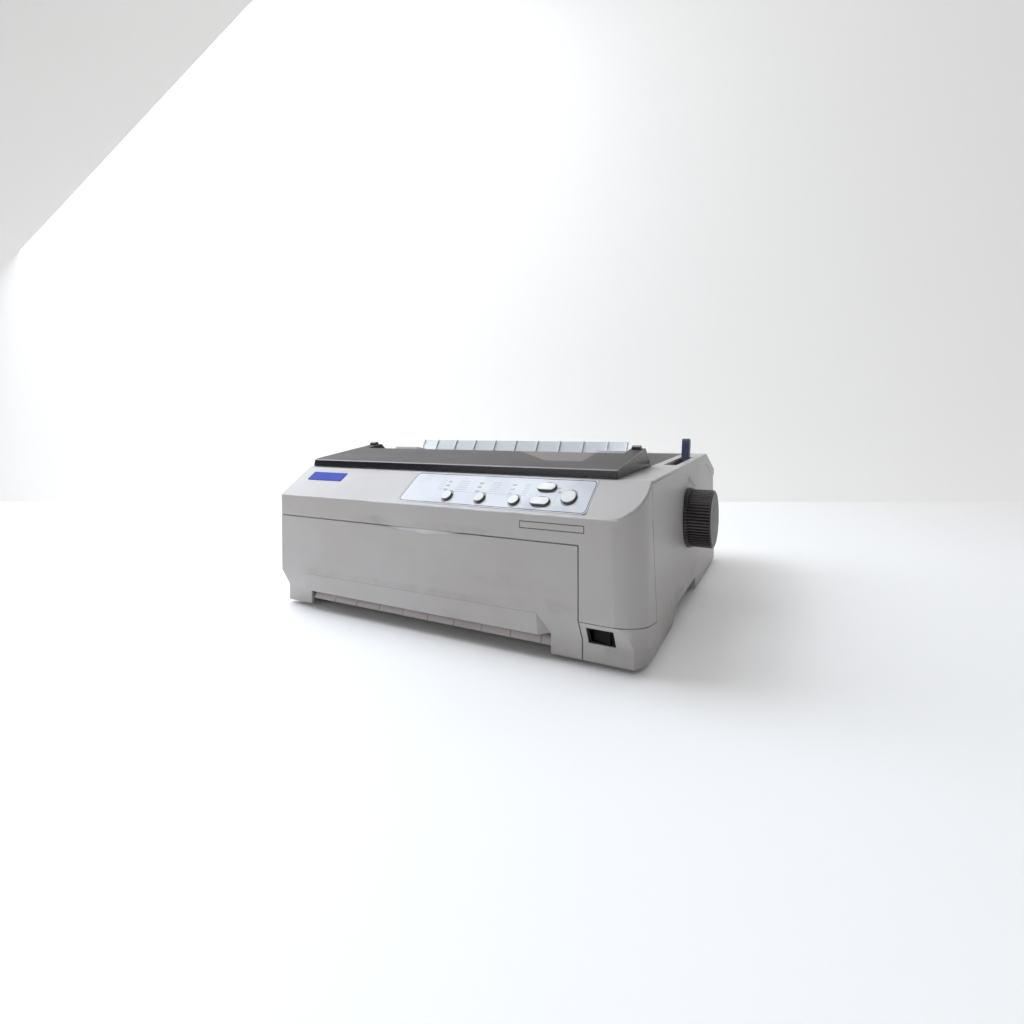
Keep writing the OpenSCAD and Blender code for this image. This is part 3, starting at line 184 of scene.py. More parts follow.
class Graph:
    """The node tree of one material."""

    def __init__(self, name: str) -> None:
        """Start an empty material of that name."""
        self.material = bpy.data.materials.new(name)
        self.material.use_nodes = True
        self.tree = self.material.node_tree
        self.tree.nodes.clear()
        self.place = self.node("ShaderNodeTexCoord").outputs["Object"]

    def node(self, kind: str, inputs: dict | None = None, **settings: object) -> bpy.types.Node:
        """Add one node.

        Args:
            kind: the node's type.
            inputs: values or links of its sockets, by name or number.
            settings: the node's own settings, set before its sockets.

        Returns:
            The new node.
        """
        node = self.tree.nodes.new(kind)
        for key, value in settings.items():
            setattr(node, key, value)
        for key, value in (inputs or {}).items():
            socket = node.inputs[key]
            if isinstance(value, Value):
                self.tree.links.new(value.socket, socket)
            elif isinstance(value, bpy.types.NodeSocket):
                self.tree.links.new(value, socket)
            else:
                socket.default_value = value
        return node

    def axes(self) -> tuple[Value, Value, Value]:
        """Give the place's X, Y and Z as values."""
        split = self.node("ShaderNodeSeparateXYZ", {0: self.place})
        return tuple(Value(self, split.outputs[i]) for i in range(3))

    def stretched(self, scale: tuple[float, float, float], turn_z: float = 0.0) -> bpy.types.NodeSocket:
        """Give the place scaled along each axis, after a turn about Z in radians."""
        inputs = {"Vector": self.place, "Rotation": (0.0, 0.0, turn_z), "Scale": scale}
        return self.node("ShaderNodeMapping", inputs).outputs[0]

    def noise(
        self, scale: float, detail: float = 3.0, rough: float = 0.5,
        vector: bpy.types.NodeSocket | None = None,
    ) -> Value:
        """Give fractal noise with that many features to the metre."""
        inputs = {"Vector": vector or self.place, "Scale": scale, "Detail": detail, "Roughness": rough}
        return Value(self, self.node("ShaderNodeTexNoise", inputs).outputs[0])

    def cells(self, scale: float) -> Value:
        """Give the distance to the nearest of many scattered points."""
        node = self.node("ShaderNodeTexVoronoi", {"Vector": self.place, "Scale": scale})
        return Value(self, node.outputs["Distance"])

    def spot(self, centre: Vector, size: Vector) -> Value:
        """Give 1 at a place, falling to 0 at an ellipsoid of the given half sizes round it."""
        parts = [(axis - centre[i]) / size[i] for i, axis in enumerate(self.axes())]
        reach = parts[0] * parts[0] + parts[1] * parts[1] + parts[2] * parts[2]
        return reach.between(1.0, 0.0)

    def line(self, start: Vector, end: Vector, half: float) -> Value:
        """Give 1 on a straight line between two places, falling to 0 at twice half beside it."""
        along = end - start
        away = self.node("ShaderNodeVectorMath", {0: self.place, 1: start}, operation="SUBTRACT").outputs[0]
        unit = along / along.length_squared
        reach = self.node("ShaderNodeVectorMath", {0: away, 1: unit}, operation="DOT_PRODUCT")
        share = Value(self, reach.outputs["Value"]).clamp()
        foot = self.node("ShaderNodeVectorMath", {0: along, "Scale": share}, operation="SCALE").outputs[0]
        gap = self.node("ShaderNodeVectorMath", {0: away, 1: foot}, operation="DISTANCE").outputs["Value"]
        return Value(self, gap).between(2.0 * half, half)

    def blend(
        self, share: Value | float, first: Colour | bpy.types.NodeSocket,
        second: Colour | bpy.types.NodeSocket,
    ) -> bpy.types.NodeSocket:
        """Mix two colours.

        Args:
            share: how much of the second colour.
            first: a colour or a link.
            second: a colour or a link.

        Returns:
            The mixed colour's socket.
        """
        colours = [(*c, 1.0) if isinstance(c, tuple) else c for c in (first, second)]
        node = self.node("ShaderNodeMix", {0: share, 6: colours[0], 7: colours[1]}, data_type="RGBA")
        return node.outputs[2]

    def bump(
        self, height: Value, depth_mm: float, below: bpy.types.NodeSocket | None = None
    ) -> bpy.types.NodeSocket:
        """Turn a height from 0 to 1 into a normal, on top of another bump if there is one."""
        inputs = {"Height": height, "Distance": depth_mm * MM, "Strength": 1.0}
        if below is not None:
            inputs["Normal"] = below
        return self.node("ShaderNodeBump", inputs).outputs[0]

    def surface(self, **inputs: object) -> bpy.types.Material:
        """End the graph in one Principled BSDF.

        Args:
            inputs: its sockets, with underscores for spaces; a colour may have three numbers.

        Returns:
            The finished material.
        """
        named = {}
        for key, value in inputs.items():
            is_colour = isinstance(value, tuple) and len(value) == 3
            named[key.replace("_", " ")] = (*value, 1.0) if is_colour else value
        shader = self.node("ShaderNodeBsdfPrincipled", named)
        self.node("ShaderNodeOutputMaterial", {"Surface": shader.outputs[0]})
        return self.material


# Finishes -----------------------------------------------------------------------


def deeper(colour: Colour, share: float) -> Colour:
    """Give a colour multiplied by share."""
    return tuple(c * share for c in colour)


@dataclass(frozen=True)
class Mark:
    """A soft stain at one place, with half sizes in millimetres."""

    x: float
    y: float
    z: float
    rx: float
    ry: float
    rz: float
    strength: float


@dataclass(frozen=True)
class Seam:
    """A straight dark line between two places in millimetres, for dirt and painted shade in a seam or crease.
    """

    start: tuple[float, float, float]
    end: tuple[float, float, float]
    half_mm: float
    strength: float


@dataclass(frozen=True)
class CasingPlastic:
    """Warm grey moulded plastic with a fine texture, handling marks, yellowing, dark seam lines of dirt and
    painted shade, and a painted highlight along one edge.
    """

    name: str
    colour: Colour
    aged: Colour
    grime_and_shade: Colour = (0.17, 0.15, 0.13)
    roughness: float = 0.41
    grain_mm: float = 0.45
    grain_depth_mm: float = 0.035
    dirt_and_shade_scale: float = 1.0
    marks: tuple[Mark, ...] = ()
    seams: tuple[Seam, ...] = ()
    highlight_z_mm: float = 0.0

    def build(self) -> bpy.types.Material:
        """Make the material."""
        g = Graph(self.name)
        _, y, z = g.axes()
        clouds = g.noise(11.0, 4.0, 0.6)
        smears = g.noise(1.0, 4.0, 0.55, g.stretched((13.0, 13.0, 22.0)))
        specks = g.cells(260.0).between(0.07, 0.02) * g.noise(60.0, 2.0).between(0.6, 0.75)
        hair = g.noise(1.0, 2.0, 0.4, g.stretched((40.0, 40.0, 420.0), 0.3))
        scuffs = hair.between(0.68, 0.75) * g.noise(16.0, 2.0).between(0.58, 0.7)
        # The smears grow darker towards the bottom.
        low = z.between(0.045, 0.006)
        dirt_and_shade = smears.between(0.45, 0.85) * (0.1 + 0.3 * low) + specks * 0.5 + scuffs * 0.12
        for mark in self.marks:
            spot = g.spot(corner(mark.x, mark.y, mark.z), Vector((mark.rx, mark.ry, mark.rz)) * MM)
            dirt_and_shade = dirt_and_shade + spot * g.noise(70.0, 4.0, 0.6).between(0.3, 0.75) * mark.strength
        # Dirt and painted shade: each seam or crease gets a dark line, as dirt in it and the shade of its
        # gap.
        for seam in self.seams:
            line = g.line(corner(*seam.start), corner(*seam.end), seam.half_mm * MM)
            dirt_and_shade = dirt_and_shade + line * (0.5 + smears) * seam.strength
        dirt_and_shade = (dirt_and_shade * self.dirt_and_shade_scale).clamp()
        plain = g.blend(clouds.between(0.3, 0.7), self.colour, self.aged)
        # Painted highlight: a pale line along the fold edge at this height, on the front, where the edge
        # catches the light.
        if self.highlight_z_mm:
            edge = z.band((self.highlight_z_mm - 0.5) * MM, (self.highlight_z_mm + 0.5) * MM, 0.4 * MM)
            near = (y - CORNER.y).between(1.6 * MM, 1.0 * MM)
            rubbed = edge * near * g.noise(16.0, 3.0, 0.6).between(0.25, 0.6) * 0.6
            plain = g.blend(rubbed, plain, HIGHLIGHT_WHITE)
        colour = g.blend(dirt_and_shade, plain, self.grime_and_shade)
        rough = self.roughness + (clouds - 0.5) * 0.12 + dirt_and_shade * 0.18
        grain = g.bump(g.noise(1000.0 / self.grain_mm, 2.0, 0.6), self.grain_depth_mm)
        return g.surface(Base_Color=colour, Roughness=rough, Normal=g.bump(scuffs, 0.02, grain))


@dataclass(frozen=True)
class SmokedPlastic:
    """Dark translucent plastic, glossy in front, dusty and scuffed on top, with a painted reflection on the
    top and a painted highlight on its rounded edges.
    """

    name: str
    colour: Colour
    dust: Colour
    alpha: float = 0.9
    lighter_from_mm: float = 40.0
    lighter_to_mm: float = 330.0

    def build(self) -> bpy.types.Material:
        """Make the material."""
        g = Graph(self.name)
        x, y, _ = g.axes()
        x, y = (x - CORNER.x) / MM, (y - CORNER.y) / MM
        # The top grows lighter towards the right: partly dust, partly a painted reflection.
        right = x.between(self.lighter_from_mm, self.lighter_to_mm)
        right = right * right
        normal = g.node("ShaderNodeNewGeometry").outputs["Normal"]
        rise = Value(g, g.node("ShaderNodeSeparateXYZ", {0: normal}).outputs[2])
        up, rim = rise.between(0.55, 0.95), rise.band(0.5, 0.85, 0.12)
        speckle = g.noise(900.0, 2.0, 0.7).between(0.42, 0.68)
        wiped = g.noise(1.0, 4.0, 0.6, g.stretched((14.0, 45.0, 30.0))).between(0.38, 0.72)
        scratches = g.noise(1.0, 2.0, 0.4, g.stretched((8.0, 420.0, 60.0), 0.12)).between(0.67, 0.73)
        # Painted reflection: a bright patch near the right end of the top, mixed into the dust.
        across = x - (299.0 - (y - 55.0) * 1.5)
        reflected_patch = across.between(0.0, 2.5) * x.between(340.0, 337.0) * y.between(54.0, 56.5)
        settled = 0.24 + 0.04 * right + 0.09 * wiped + 0.08 * speckle + 0.6 * reflected_patch
        dust = up * settled + scratches * 0.2 + 0.02
        # Painted highlight: the rounded edges between top and front band are lightened to pale grey.
        colour = g.blend(rim * 0.8, g.blend(dust.clamp(), self.colour, self.dust), (0.55, 0.54, 0.56))
        rough = 0.2 + up * 0.24 + speckle * 0.08 + scratches * 0.12
        grain = g.bump(g.noise(1700.0, 2.0, 0.6), 0.03)
        return g.surface(
            Base_Color=colour, Roughness=rough, Alpha=self.alpha, Normal=g.bump(scratches, 0.01, grain),
            IOR=1.5, Specular_IOR_Level=0.2, Coat_Weight=(1.0 - up) * 0.6, Coat_Roughness=0.14,
        )


@dataclass(frozen=True)
class PlainPlastic:
    """Moulded plastic with a fine grain, slight mottling, dust on what faces up and, where asked, painted
    shade on the sides.
    """

    name: str
    colour: Colour
    dust: Colour = (0.42, 0.41, 0.39)
    roughness: float = 0.42
    grain_mm: float = 0.5
    grain_depth_mm: float = 0.03
    dusty: float = 0.1
    coat: float = 0.0
    specular: float = 0.5
    shaded_sides: float = 0.0

    def build(self) -> bpy.types.Material:
        """Make the material."""
        g = Graph(self.name)
        normal = g.node("ShaderNodeNewGeometry").outputs["Normal"]
        up = Value(g, g.node("ShaderNodeSeparateXYZ", {0: normal}).outputs[2]).between(0.3, 1.0)
        mottle = g.noise(55.0, 4.0, 0.6)
        rubs = g.noise(1.0, 3.0, 0.5, g.stretched((60.0, 240.0, 240.0), 0.3)).between(0.6, 0.75)
        settled = (up * 0.7 + 0.3) * g.noise(26.0, 4.0, 0.65).between(0.3, 0.75) * self.dusty
        dust = (settled + rubs * self.dusty * 0.6).clamp()
        base = g.blend(mottle.between(0.3, 0.7), self.colour, deeper(self.colour, 0.86))
        colour = g.blend(dust, base, self.dust)
        # Painted shade: sides that turn away from the panel's slope go dark brown, for the shadow round each
        # button.
        if self.shaded_sides:
            axis = (0.0, -math.sin(PANEL_SLOPE), math.cos(PANEL_SLOPE))
            facing = g.node("ShaderNodeVectorMath", {0: normal, 1: axis}, operation="DOT_PRODUCT")
            side = Value(g, facing.outputs["Value"]).between(0.8, 0.3)
            colour = g.blend(side * self.shaded_sides, colour, (0.05, 0.04, 0.035))
        rough = self.roughness + (mottle - 0.5) * 0.14 + dust * 0.25
        grain = g.bump(g.noise(1000.0 / self.grain_mm, 2.0, 0.6), self.grain_depth_mm)
        return g.surface(
            Base_Color=colour, Roughness=rough, Normal=g.bump(rubs, 0.012, grain), Coat_Weight=self.coat,
            Coat_Roughness=0.15, Specular_IOR_Level=self.specular,
        )


@dataclass(frozen=True)
class KnobPlastic:
    """Dark plastic whose ridges round an axle are paler: worn by fingers and painted lighter as a highlight
    where they catch the light.
    """

    name: str
    colour: Colour
    worn: Colour
    node: str = "feed_knob"
    ridges: int = 60
    root: float = 0.0285
    crown: float = 0.0305

    def build(self) -> bpy.types.Material:
        """Make the material."""
        g = Graph(self.name)
        low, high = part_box(self.node)
        x, y, z = g.axes()
        dy, dz = y - (low.y + high.y) / 2, z - (low.z + high.z) / 2
        turn = dz.math("ARCTAN2", dy) * (self.ridges / (2 * math.pi))
        crest = (turn.math("FRACT") - 0.5).math("ABSOLUTE").between(0.32, 0.02)
        reach = (dy * dy + dz * dz).math("SQRT")
        rim = reach.between(self.root, self.crown)
        face = x.between(high.x - 0.0022, high.x - 0.0012) * (1.0 - rim)
        patches = g.noise(48.0, 4.0, 0.6).between(0.3, 0.7)
        grease = g.noise(160.0, 3.0, 0.6)
        # Paler crests: finger wear and a painted highlight on the ridges; the end face is paler too.
        worn = (crest * rim * (0.4 + 0.6 * patches) + face * (0.2 + 0.3 * patches)).clamp()
        colour = g.blend(worn, self.colour, self.worn)
        rough = 0.34 + (grease - 0.5) * 0.2 + face * 0.12
        return g.surface(Base_Color=colour, Roughness=rough, Normal=g.bump(grease, 0.03))


@dataclass(frozen=True)
class RubberSkin:
    """Ground rubber with faint lines round the roller and paper dust."""

    name: str
    colour: Colour
    roughness: float = 0.62

    def build(self) -> bpy.types.Material:
        """Make the material."""
        g = Graph(self.name)
        lines = g.noise(1.0, 3.0, 0.6, g.stretched((1900.0, 30.0, 30.0)))
        dust = g.noise(1.0, 4.0, 0.6, g.stretched((38.0, 90.0, 90.0))).between(0.48, 0.8) * 0.3
        colour = g.blend(dust, self.colour, (0.3, 0.29, 0.28))
        rough = self.roughness + (lines - 0.5) * 0.18 + dust * 0.2
        return g.surface(Base_Color=colour, Roughness=rough, Normal=g.bump(lines, 0.03))


class Lay(Enum):
    """Direction of the fine lines that rolling or grinding leaves on a metal."""

    AROUND_X = (2400.0, 20.0, 20.0)
    SHEET = (60.0, 900.0, 900.0)


@dataclass(frozen=True)
class BareMetal:
    """Bare metal with fine lines, spangle and a little tarnish."""

    name: str
    colour: Colour
    lay: Lay = Lay.SHEET
    roughness: float = 0.34
    tarnish: float = 0.35

    def build(self) -> bpy.types.Material:
        """Make the material."""
        g = Graph(self.name)
        lines = g.noise(1.0, 3.0, 0.55, g.stretched(self.lay.value))
        spangle = g.cells(190.0)
        stain = g.noise(30.0, 5.0, 0.65).between(0.52, 0.78) * self.tarnish
        base = g.blend(spangle.between(0.1, 0.6), self.colour, deeper(self.colour, 0.84))
        colour = g.blend(stain, base, deeper(self.colour, 0.5))
        rough = self.roughness + (lines - 0.5) * 0.22 + stain * 0.3
        return g.surface(Base_Color=colour, Metallic=1.0, Roughness=rough, Normal=g.bump(lines, 0.012))


@dataclass(frozen=True)
class Lacquer:
    """Stoved lacquer on a motor, with orange peel and bare spots where it has chipped."""

    name: str
    colour: Colour
    bare: Colour = (0.5, 0.5, 0.5)

    def build(self) -> bpy.types.Material:
        """Make the material."""
        g = Graph(self.name)
        peel = g.noise(520.0, 2.0, 0.5)
        chips = g.noise(150.0, 4.0, 0.7).between(0.7, 0.73)
        colour = g.blend(chips, g.blend(peel, self.colour, deeper(self.colour, 1.3)), self.bare)
        return g.surface(
            Base_Color=colour, Metallic=chips * 0.9, Roughness=0.32 + chips * 0.15 + (peel - 0.5) * 0.1,
            Normal=g.bump(peel - chips * 0.6, 0.04),
        )


@dataclass(frozen=True)
class CircuitBoard:
    """Board with tracks and pads under resist; what stands on it is dark or bright by its height."""

    name: str
    resist: Colour
    track: Colour
    top: float
    parts: Colour = (0.02, 0.02, 0.022)
    across: float = 1.0

    def build(self) -> bpy.types.Material:
        """Make the material."""
        g = Graph(self.name)
        x, y, z = g.axes()
        bend = g.cells(55.0) * 0.004
        lanes = ((x + bend) * 420.0 * self.across).math("FRACT").band(0.3, 0.62, 0.08)
        rows = ((y + bend) * 380.0).math("FRACT").band(0.34, 0.6, 0.08)
        choose = g.noise(34.0, 1.0).between(0.49, 0.51)
        tracks = lanes * choose + rows * (1.0 - choose)
        pads = g.cells(260.0).between(0.2, 0.16)
        above = z.between(self.top + 0.0002, self.top + 0.0004)
        board = g.blend(tracks * 0.75, self.resist, self.track)
        board = g.blend(pads, board, (0.62, 0.6, 0.55))
        mottle = g.noise(240.0, 2.0)
        body = g.blend(mottle.between(0.3, 0.7), self.parts, deeper(self.parts, 1.8))
        colour = g.blend(above, board, body)
        metal = pads * (1.0 - above) * 0.9
        rough = 0.3 + above * 0.2 + (mottle - 0.5) * 0.1
        relief = g.bump(tracks + pads, 0.03)
        return g.surface(Base_Color=colour, Metallic=metal, Roughness=rough, Normal=relief)


@dataclass(frozen=True)
class PrintedFilm:
    """The panel's silvery film with key lines and small generic ticks, a dark line of painted shade inside
    its edge and painted shadows under the buttons.
    """

    name: str
    colour: Colour
    ink: Colour
    left_mm: float = 165.5
    right_mm: float = 367.0
    low_mm: float = 3.3
    high_mm: float = 41.6
    round_mm: float = 5.0
    slope: float = PANEL_SLOPE

    def build(self) -> bpy.types.Material:
        """Make the material."""
        g = Graph(self.name)
        x, y, _ = g.axes()
        u = (x - CORNER.x) / MM
        s = (y - CORNER.y) / (MM * math.cos(self.slope))
        half_w, half_h = (self.right_mm - self.left_mm) / 2, (self.high_mm - self.low_mm) / 2
        dx = abs(u - (self.left_mm + half_w)) - (half_w - self.round_mm)
        dy = abs(s - (self.low_mm + half_h)) - (half_h - self.round_mm)
        px, py = dx.most(0.0), dy.most(0.0)
        inner = dx.math("MINIMUM", 0.0).most(dy.math("MINIMUM", 0.0))
        edge = (px * px + py * py).math("SQRT") + inner - self.round_mm
        # Painted shade: a dark line inside the film's edge stands for the shaded gap round the bezel.
        outline = edge.band(-1.85, -0.95, 0.12)
        ticks = self.ticks(u, s)
        flecks = g.noise(1500.0, 2.0, 0.6)
        rubbed = g.noise(45.0, 4.0, 0.6).between(0.42, 0.75)
        base = g.blend(rubbed * 0.5 + flecks * 0.3, self.colour, deeper(self.colour, 0.82))
        # The ink colour draws the printed ticks, the painted shade of the outline and the painted shadows
        # under the buttons.
        shade = (outline * 0.9 + ticks * 0.42).most(self.button_shadows(u, s) * 0.75)
        colour = g.blend(shade.clamp(), base, self.ink)
        rough = 0.34 + rubbed * 0.12 + outline * 0.1
        return g.surface(
            Base_Color=colour, Roughness=rough, Normal=g.bump(flecks, 0.006), Coat_Weight=0.15,
            Coat_Roughness=0.2,
        )

    def button_shadows(self, u: Value, s: Value) -> Value:
        """Give the painted shadow in the gap under each button."""
        total = None
        for node in (name for name in SLOT_OF if name.endswith("_button")):
            low, high = ((place - CORNER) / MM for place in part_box(node))
            middle_x, middle_s = (low.x + high.x) / 2, (low.y + high.y) / 2 / math.cos(self.slope)
            half_x, half_s = (high.x - low.x) / 2, (high.y - low.y) / 2 / math.cos(self.slope)
            across, along = (u - middle_x) / half_x, (s - (middle_s - 0.4)) / half_s
            spot = (across * across + along * along).between(1.12, 0.92)
            total = spot if total is None else total.most(spot)
        return total

    def ticks(self, u: Value, s: Value) -> Value:
        """Give short rules above the round buttons and a bracket beside the long ones."""
        rows = (s / 2.6).math("FRACT").band(0.35, 0.6, 0.1) * s.band(19.5, 33.0, 0.3)
        columns = u.band(203.0, 209.0, 0.2).most(u.band(224.0, 236.0, 0.2)).most(u.band(262.0, 272.0, 0.2))
        columns = columns.most(u.band(298.0, 303.5, 0.2))
        lead = s.band(19.0, 19.35, 0.1) * u.band(212.0, 300.0, 0.2)
        bracket = u.band(333.2, 333.6, 0.1) * s.band(13.0, 30.0, 0.2)
        return (rows * columns * 0.8).most(lead * 0.7).most(bracket * 0.7)


@dataclass(frozen=True)
class InkedRibbon:
    """Woven nylon ribbon soaked with ink."""

    name: str
    colour: Colour

    def build(self) -> bpy.types.Material:
        """Make the material."""
        g = Graph(self.name)
        x, _, z = g.axes()
        weave = (x * 2600.0).math("SINE") * (z * 2600.0).math("SINE")
        worn = g.noise(1.0, 3.0, 0.6, g.stretched((12.0, 12.0, 260.0))).between(0.4, 0.7)
        colour = g.blend(worn, self.colour, deeper(self.colour, 2.4))
        relief = g.bump(weave * 0.5 + 0.5, 0.03)
        return g.surface(Base_Color=colour, Roughness=0.7 + weave * 0.1, Normal=relief)


@dataclass(frozen=True)
class Lens:
    """Clear amber plastic of an indicator lamp that is off."""

    name: str
    colour: Colour

    def build(self) -> bpy.types.Material:
        """Make the material."""
        g = Graph(self.name)
        depth = g.noise(900.0, 2.0)
        colour = g.blend(depth.between(0.3, 0.7), self.colour, deeper(self.colour, 0.6))
        rough = 0.16 + depth * 0.08
        return g.surface(Base_Color=colour, Roughness=rough, Coat_Weight=0.5, Coat_Roughness=0.08)


@dataclass(frozen=True)
class Studio:
    """Matt paint of the floor or the wall, with an even glow that goes black as painted shade over the
    printer's footprint.
    """

    name: str
    colour: Colour
    roughness: float
    glow: float = 0.0
    edge: float = 0.012
    knob_reach: float = 0.028

    def build(self) -> bpy.types.Material:
        """Make the material."""
        g = Graph(self.name)
        soft = g.noise(3.0, 3.0, 0.5)
        colour = g.blend(soft.between(0.3, 0.7), self.colour, deeper(self.colour, 0.985))
        x, y, _ = g.axes()
        low, high = CAD_BOUNDS
        right = high[0] - self.edge - self.knob_reach
        # Painted shade: the glow is cut out under the printer, so the floor stays dark there.
        under = x.band(low[0] + self.edge, right, 2 * self.edge)
        under = under * y.band(low[1] + self.edge, high[1] - self.edge, 2 * self.edge)
        glow = g.blend(under, self.colour, (0.0, 0.0, 0.0))
        return g.surface(
            Base_Color=colour, Roughness=self.roughness + soft * 0.05,
            Emission_Color=glow, Emission_Strength=self.glow,
        )


RECORD = frame["record"]
SLOT_OF = {part["node"]: part["material_slot"] for part in RECORD["subparts"]}
BOARD_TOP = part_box("main_board")[0].z + 1.6 * MM
FRONT_MARKS = (
    Mark(138, 0, 104, 30, 14, 6, 0.3),
    Mark(240, 0, 103, 70, 14, 5, 0.16),
    Mark(330, 0, 46, 40, 14, 9, 0.22),
    Mark(190, 0, 42, 130, 14, 5, 0.22),
    Mark(60, 0, 44, 34, 14, 10, 0.18),
    Mark(395, 4, 12, 30, 16, 9, 0.22),
    Mark(300, 0, 62, 60, 14, 10, 0.1),
    Mark(414, 110, 20, 8, 60, 12, 0.2),
)

# Dark lines of dirt and painted shade along the cover's seams, the crease at the top of the lower band and
# the corner seam on the right side.
FRONT_SEAMS = (
    Seam((37, 0, 38.9), (323, 0, 38.9), 0.22, 0.32),
    Seam((0, 0, 99.15), (361.5, 0, 99.15), 0.4, 0.8),
    Seam((361.5, 0, 99.15), (361.5, 0, 39), 0.4, 0.8),
    Seam((361.5, 0, 39), (361.5, 8, 20), 0.4, 0.8),
    Seam((361.5, 8, 20), (361.5, 8, 3.5), 0.4, 0.8),
    Seam((414, 45.6, 28), (414, 33.2, 117.5), 0.4, 0.7),
)

FINISHES = {finish.name: finish for finish in (
    CasingPlastic(
        "case_plastic", (0.54, 0.528, 0.52), (0.525, 0.487, 0.475), marks=FRONT_MARKS, seams=FRONT_SEAMS,
        highlight_z_mm=121.4
    ),
    PrintedFilm("bezel_plastic", (0.62, 0.635, 0.69), (0.035, 0.038, 0.06)),
    PlainPlastic("badge_blue", (0.018, 0.055, 0.52), roughness=0.6, dusty=0.02, specular=0.2),
    RubberSkin("rubber_black", (0.022, 0.022, 0.024)),
    CasingPlastic(
        "paper_slot_plastic", (0.53, 0.487, 0.468), (0.49, 0.45, 0.43), dirt_and_shade_scale=0.9, roughness=0.4
    ),
    SmokedPlastic("smoke_plastic", (0.016, 0.015, 0.022), (0.27, 0.24, 0.225)),
    CasingPlastic(
        "guide_plastic", (0.93, 0.95, 0.98), (0.9, 0.92, 0.95), dirt_and_shade_scale=0.2, roughness=0.3
    ),
    PlainPlastic(
        "button_plastic", (0.79, 0.785, 0.765), roughness=0.34, dusty=0.1, coat=0.2, shaded_sides=0.85
    ),
    Lens("lamp_lens", (0.33, 0.28, 0.22)),
    KnobPlastic("knob_plastic", (0.014, 0.012, 0.013), (0.25, 0.225, 0.215)),
    PlainPlastic(
        "lever_plastic", (0.045, 0.065, 0.155), dust=(0.16, 0.18, 0.26), roughness=0.42, dusty=0.35
    ),
    PlainPlastic(
        "black_plastic", (0.005, 0.005, 0.007), dust=(0.2, 0.19, 0.18), roughness=0.58, dusty=0.02,
        specular=0.15,
    ),
    BareMetal("steel_plate", (0.56, 0.57, 0.57)),
    BareMetal("steel_shaft", (0.62, 0.62, 0.62), Lay.AROUND_X, 0.24, 0.2),
    Lacquer("motor_metal", (0.018, 0.018, 0.02)),
    PlainPlastic(
        "gear_plastic", (0.72, 0.69, 0.58), dust=(0.3, 0.27, 0.2), roughness=0.32, dusty=0.2
    ),
    CircuitBoard("circuit_board", (0.012, 0.11, 0.045), (0.035, 0.2, 0.08), BOARD_TOP),
    CircuitBoard(
        "power_board_resin", (0.30, 0.19, 0.075), (0.36, 0.25, 0.12), BOARD_TOP, (0.05, 0.045, 0.04), 0.4
    ),
    BareMetal("head_metal", (0.16, 0.16, 0.17), Lay.SHEET, 0.5, 0.4),
    PlainPlastic("ratchet_green", (0.05, 0.2, 0.17), roughness=0.35),
    InkedRibbon("ink_ribbon", (0.008, 0.007, 0.012)),
    BareMetal("socket_brass", (0.72, 0.55, 0.26), Lay.SHEET, 0.25, 0.3),
    PlainPlastic("mark_white", (0.74, 0.74, 0.72), roughness=0.5, dusty=0.1),
    PlainPlastic("mark_grey", (0.12, 0.12, 0.125), roughness=0.5, dusty=0.1),
    # Painted highlight: the finger pull's lip is near white, lighter than the rubbing alone, for the light it
    # catches.
    PlainPlastic("rubbed_and_highlit_plastic", (0.94, 0.95, 0.97), roughness=0.3, dusty=0.03, coat=0.3),
)}


class Paints:
    """The materials, each made once when first asked for."""

    def __init__(self) -> None:
        """Start with none made."""
        self.made: dict[str, bpy.types.Material] = {}

    def get(self, name: str) -> bpy.types.Material:
        """Give the material of that name."""
        if name not in self.made:
            self.made[name] = FINISHES[name].build()
        return self.made[name]


PAINTS = Paints()
BODY_OF = {node: body for body, nodes in RECORD["behaviour"]["bodies"].items() for node in nodes}


# Mesh work ------------------------------------------------------------------------


def inside(point: Vector, low: Vector, high: Vector) -> bool:
    """Say whether a point lies in a box."""
    return all(low[i] <= point[i] <= high[i] for i in range(3))


def as_piece(
    shape: bmesh.types.BMesh, name: str, slot: str, body: Body | str, smooth_deg: float = 38.0
) -> bpy.types.Object:
    """Turn a bmesh into a finished piece that rides on a body.

    Args:
        shape: the mesh, which is freed.
        name: the piece's name.
        slot: the record's material slot, or a finish of the scene's own.
        body: the rigid body it moves with.
        smooth_deg: edges flatter than this are shaded smooth.

    Returns:
        The new object.
    """
    mesh = bpy.data.meshes.new(name)
    shape.to_mesh(mesh)
    shape.free()
    mesh.shade_smooth()
    mesh.set_sharp_from_angle(angle=math.radians(smooth_deg))
    mesh.materials.clear()
    mesh.materials.append(PAINTS.get(slot))
    piece = bpy.data.objects.new(name, mesh)
    bpy.context.scene.collection.objects.link(piece)
    weighted = piece.modifiers.new("weighted_normals", "WEIGHTED_NORMAL")
    weighted.mode, weighted.weight, weighted.keep_sharp = "FACE_AREA", 100, True
    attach(piece, getattr(body, "value", body))
    LOG.info("%s: %d faces, rides on %s", name, len(mesh.polygons), body)
    return piece


def sharp_edges(shape: bmesh.types.BMesh, angle_deg: float) -> list[bmesh.types.BMEdge]:
    """List the edges whose two faces meet at more than an angle."""
    limit = math.radians(angle_deg)
    return [e for e in shape.edges if len(e.link_faces) == 2 and e.calc_face_angle(0.0) > limit]


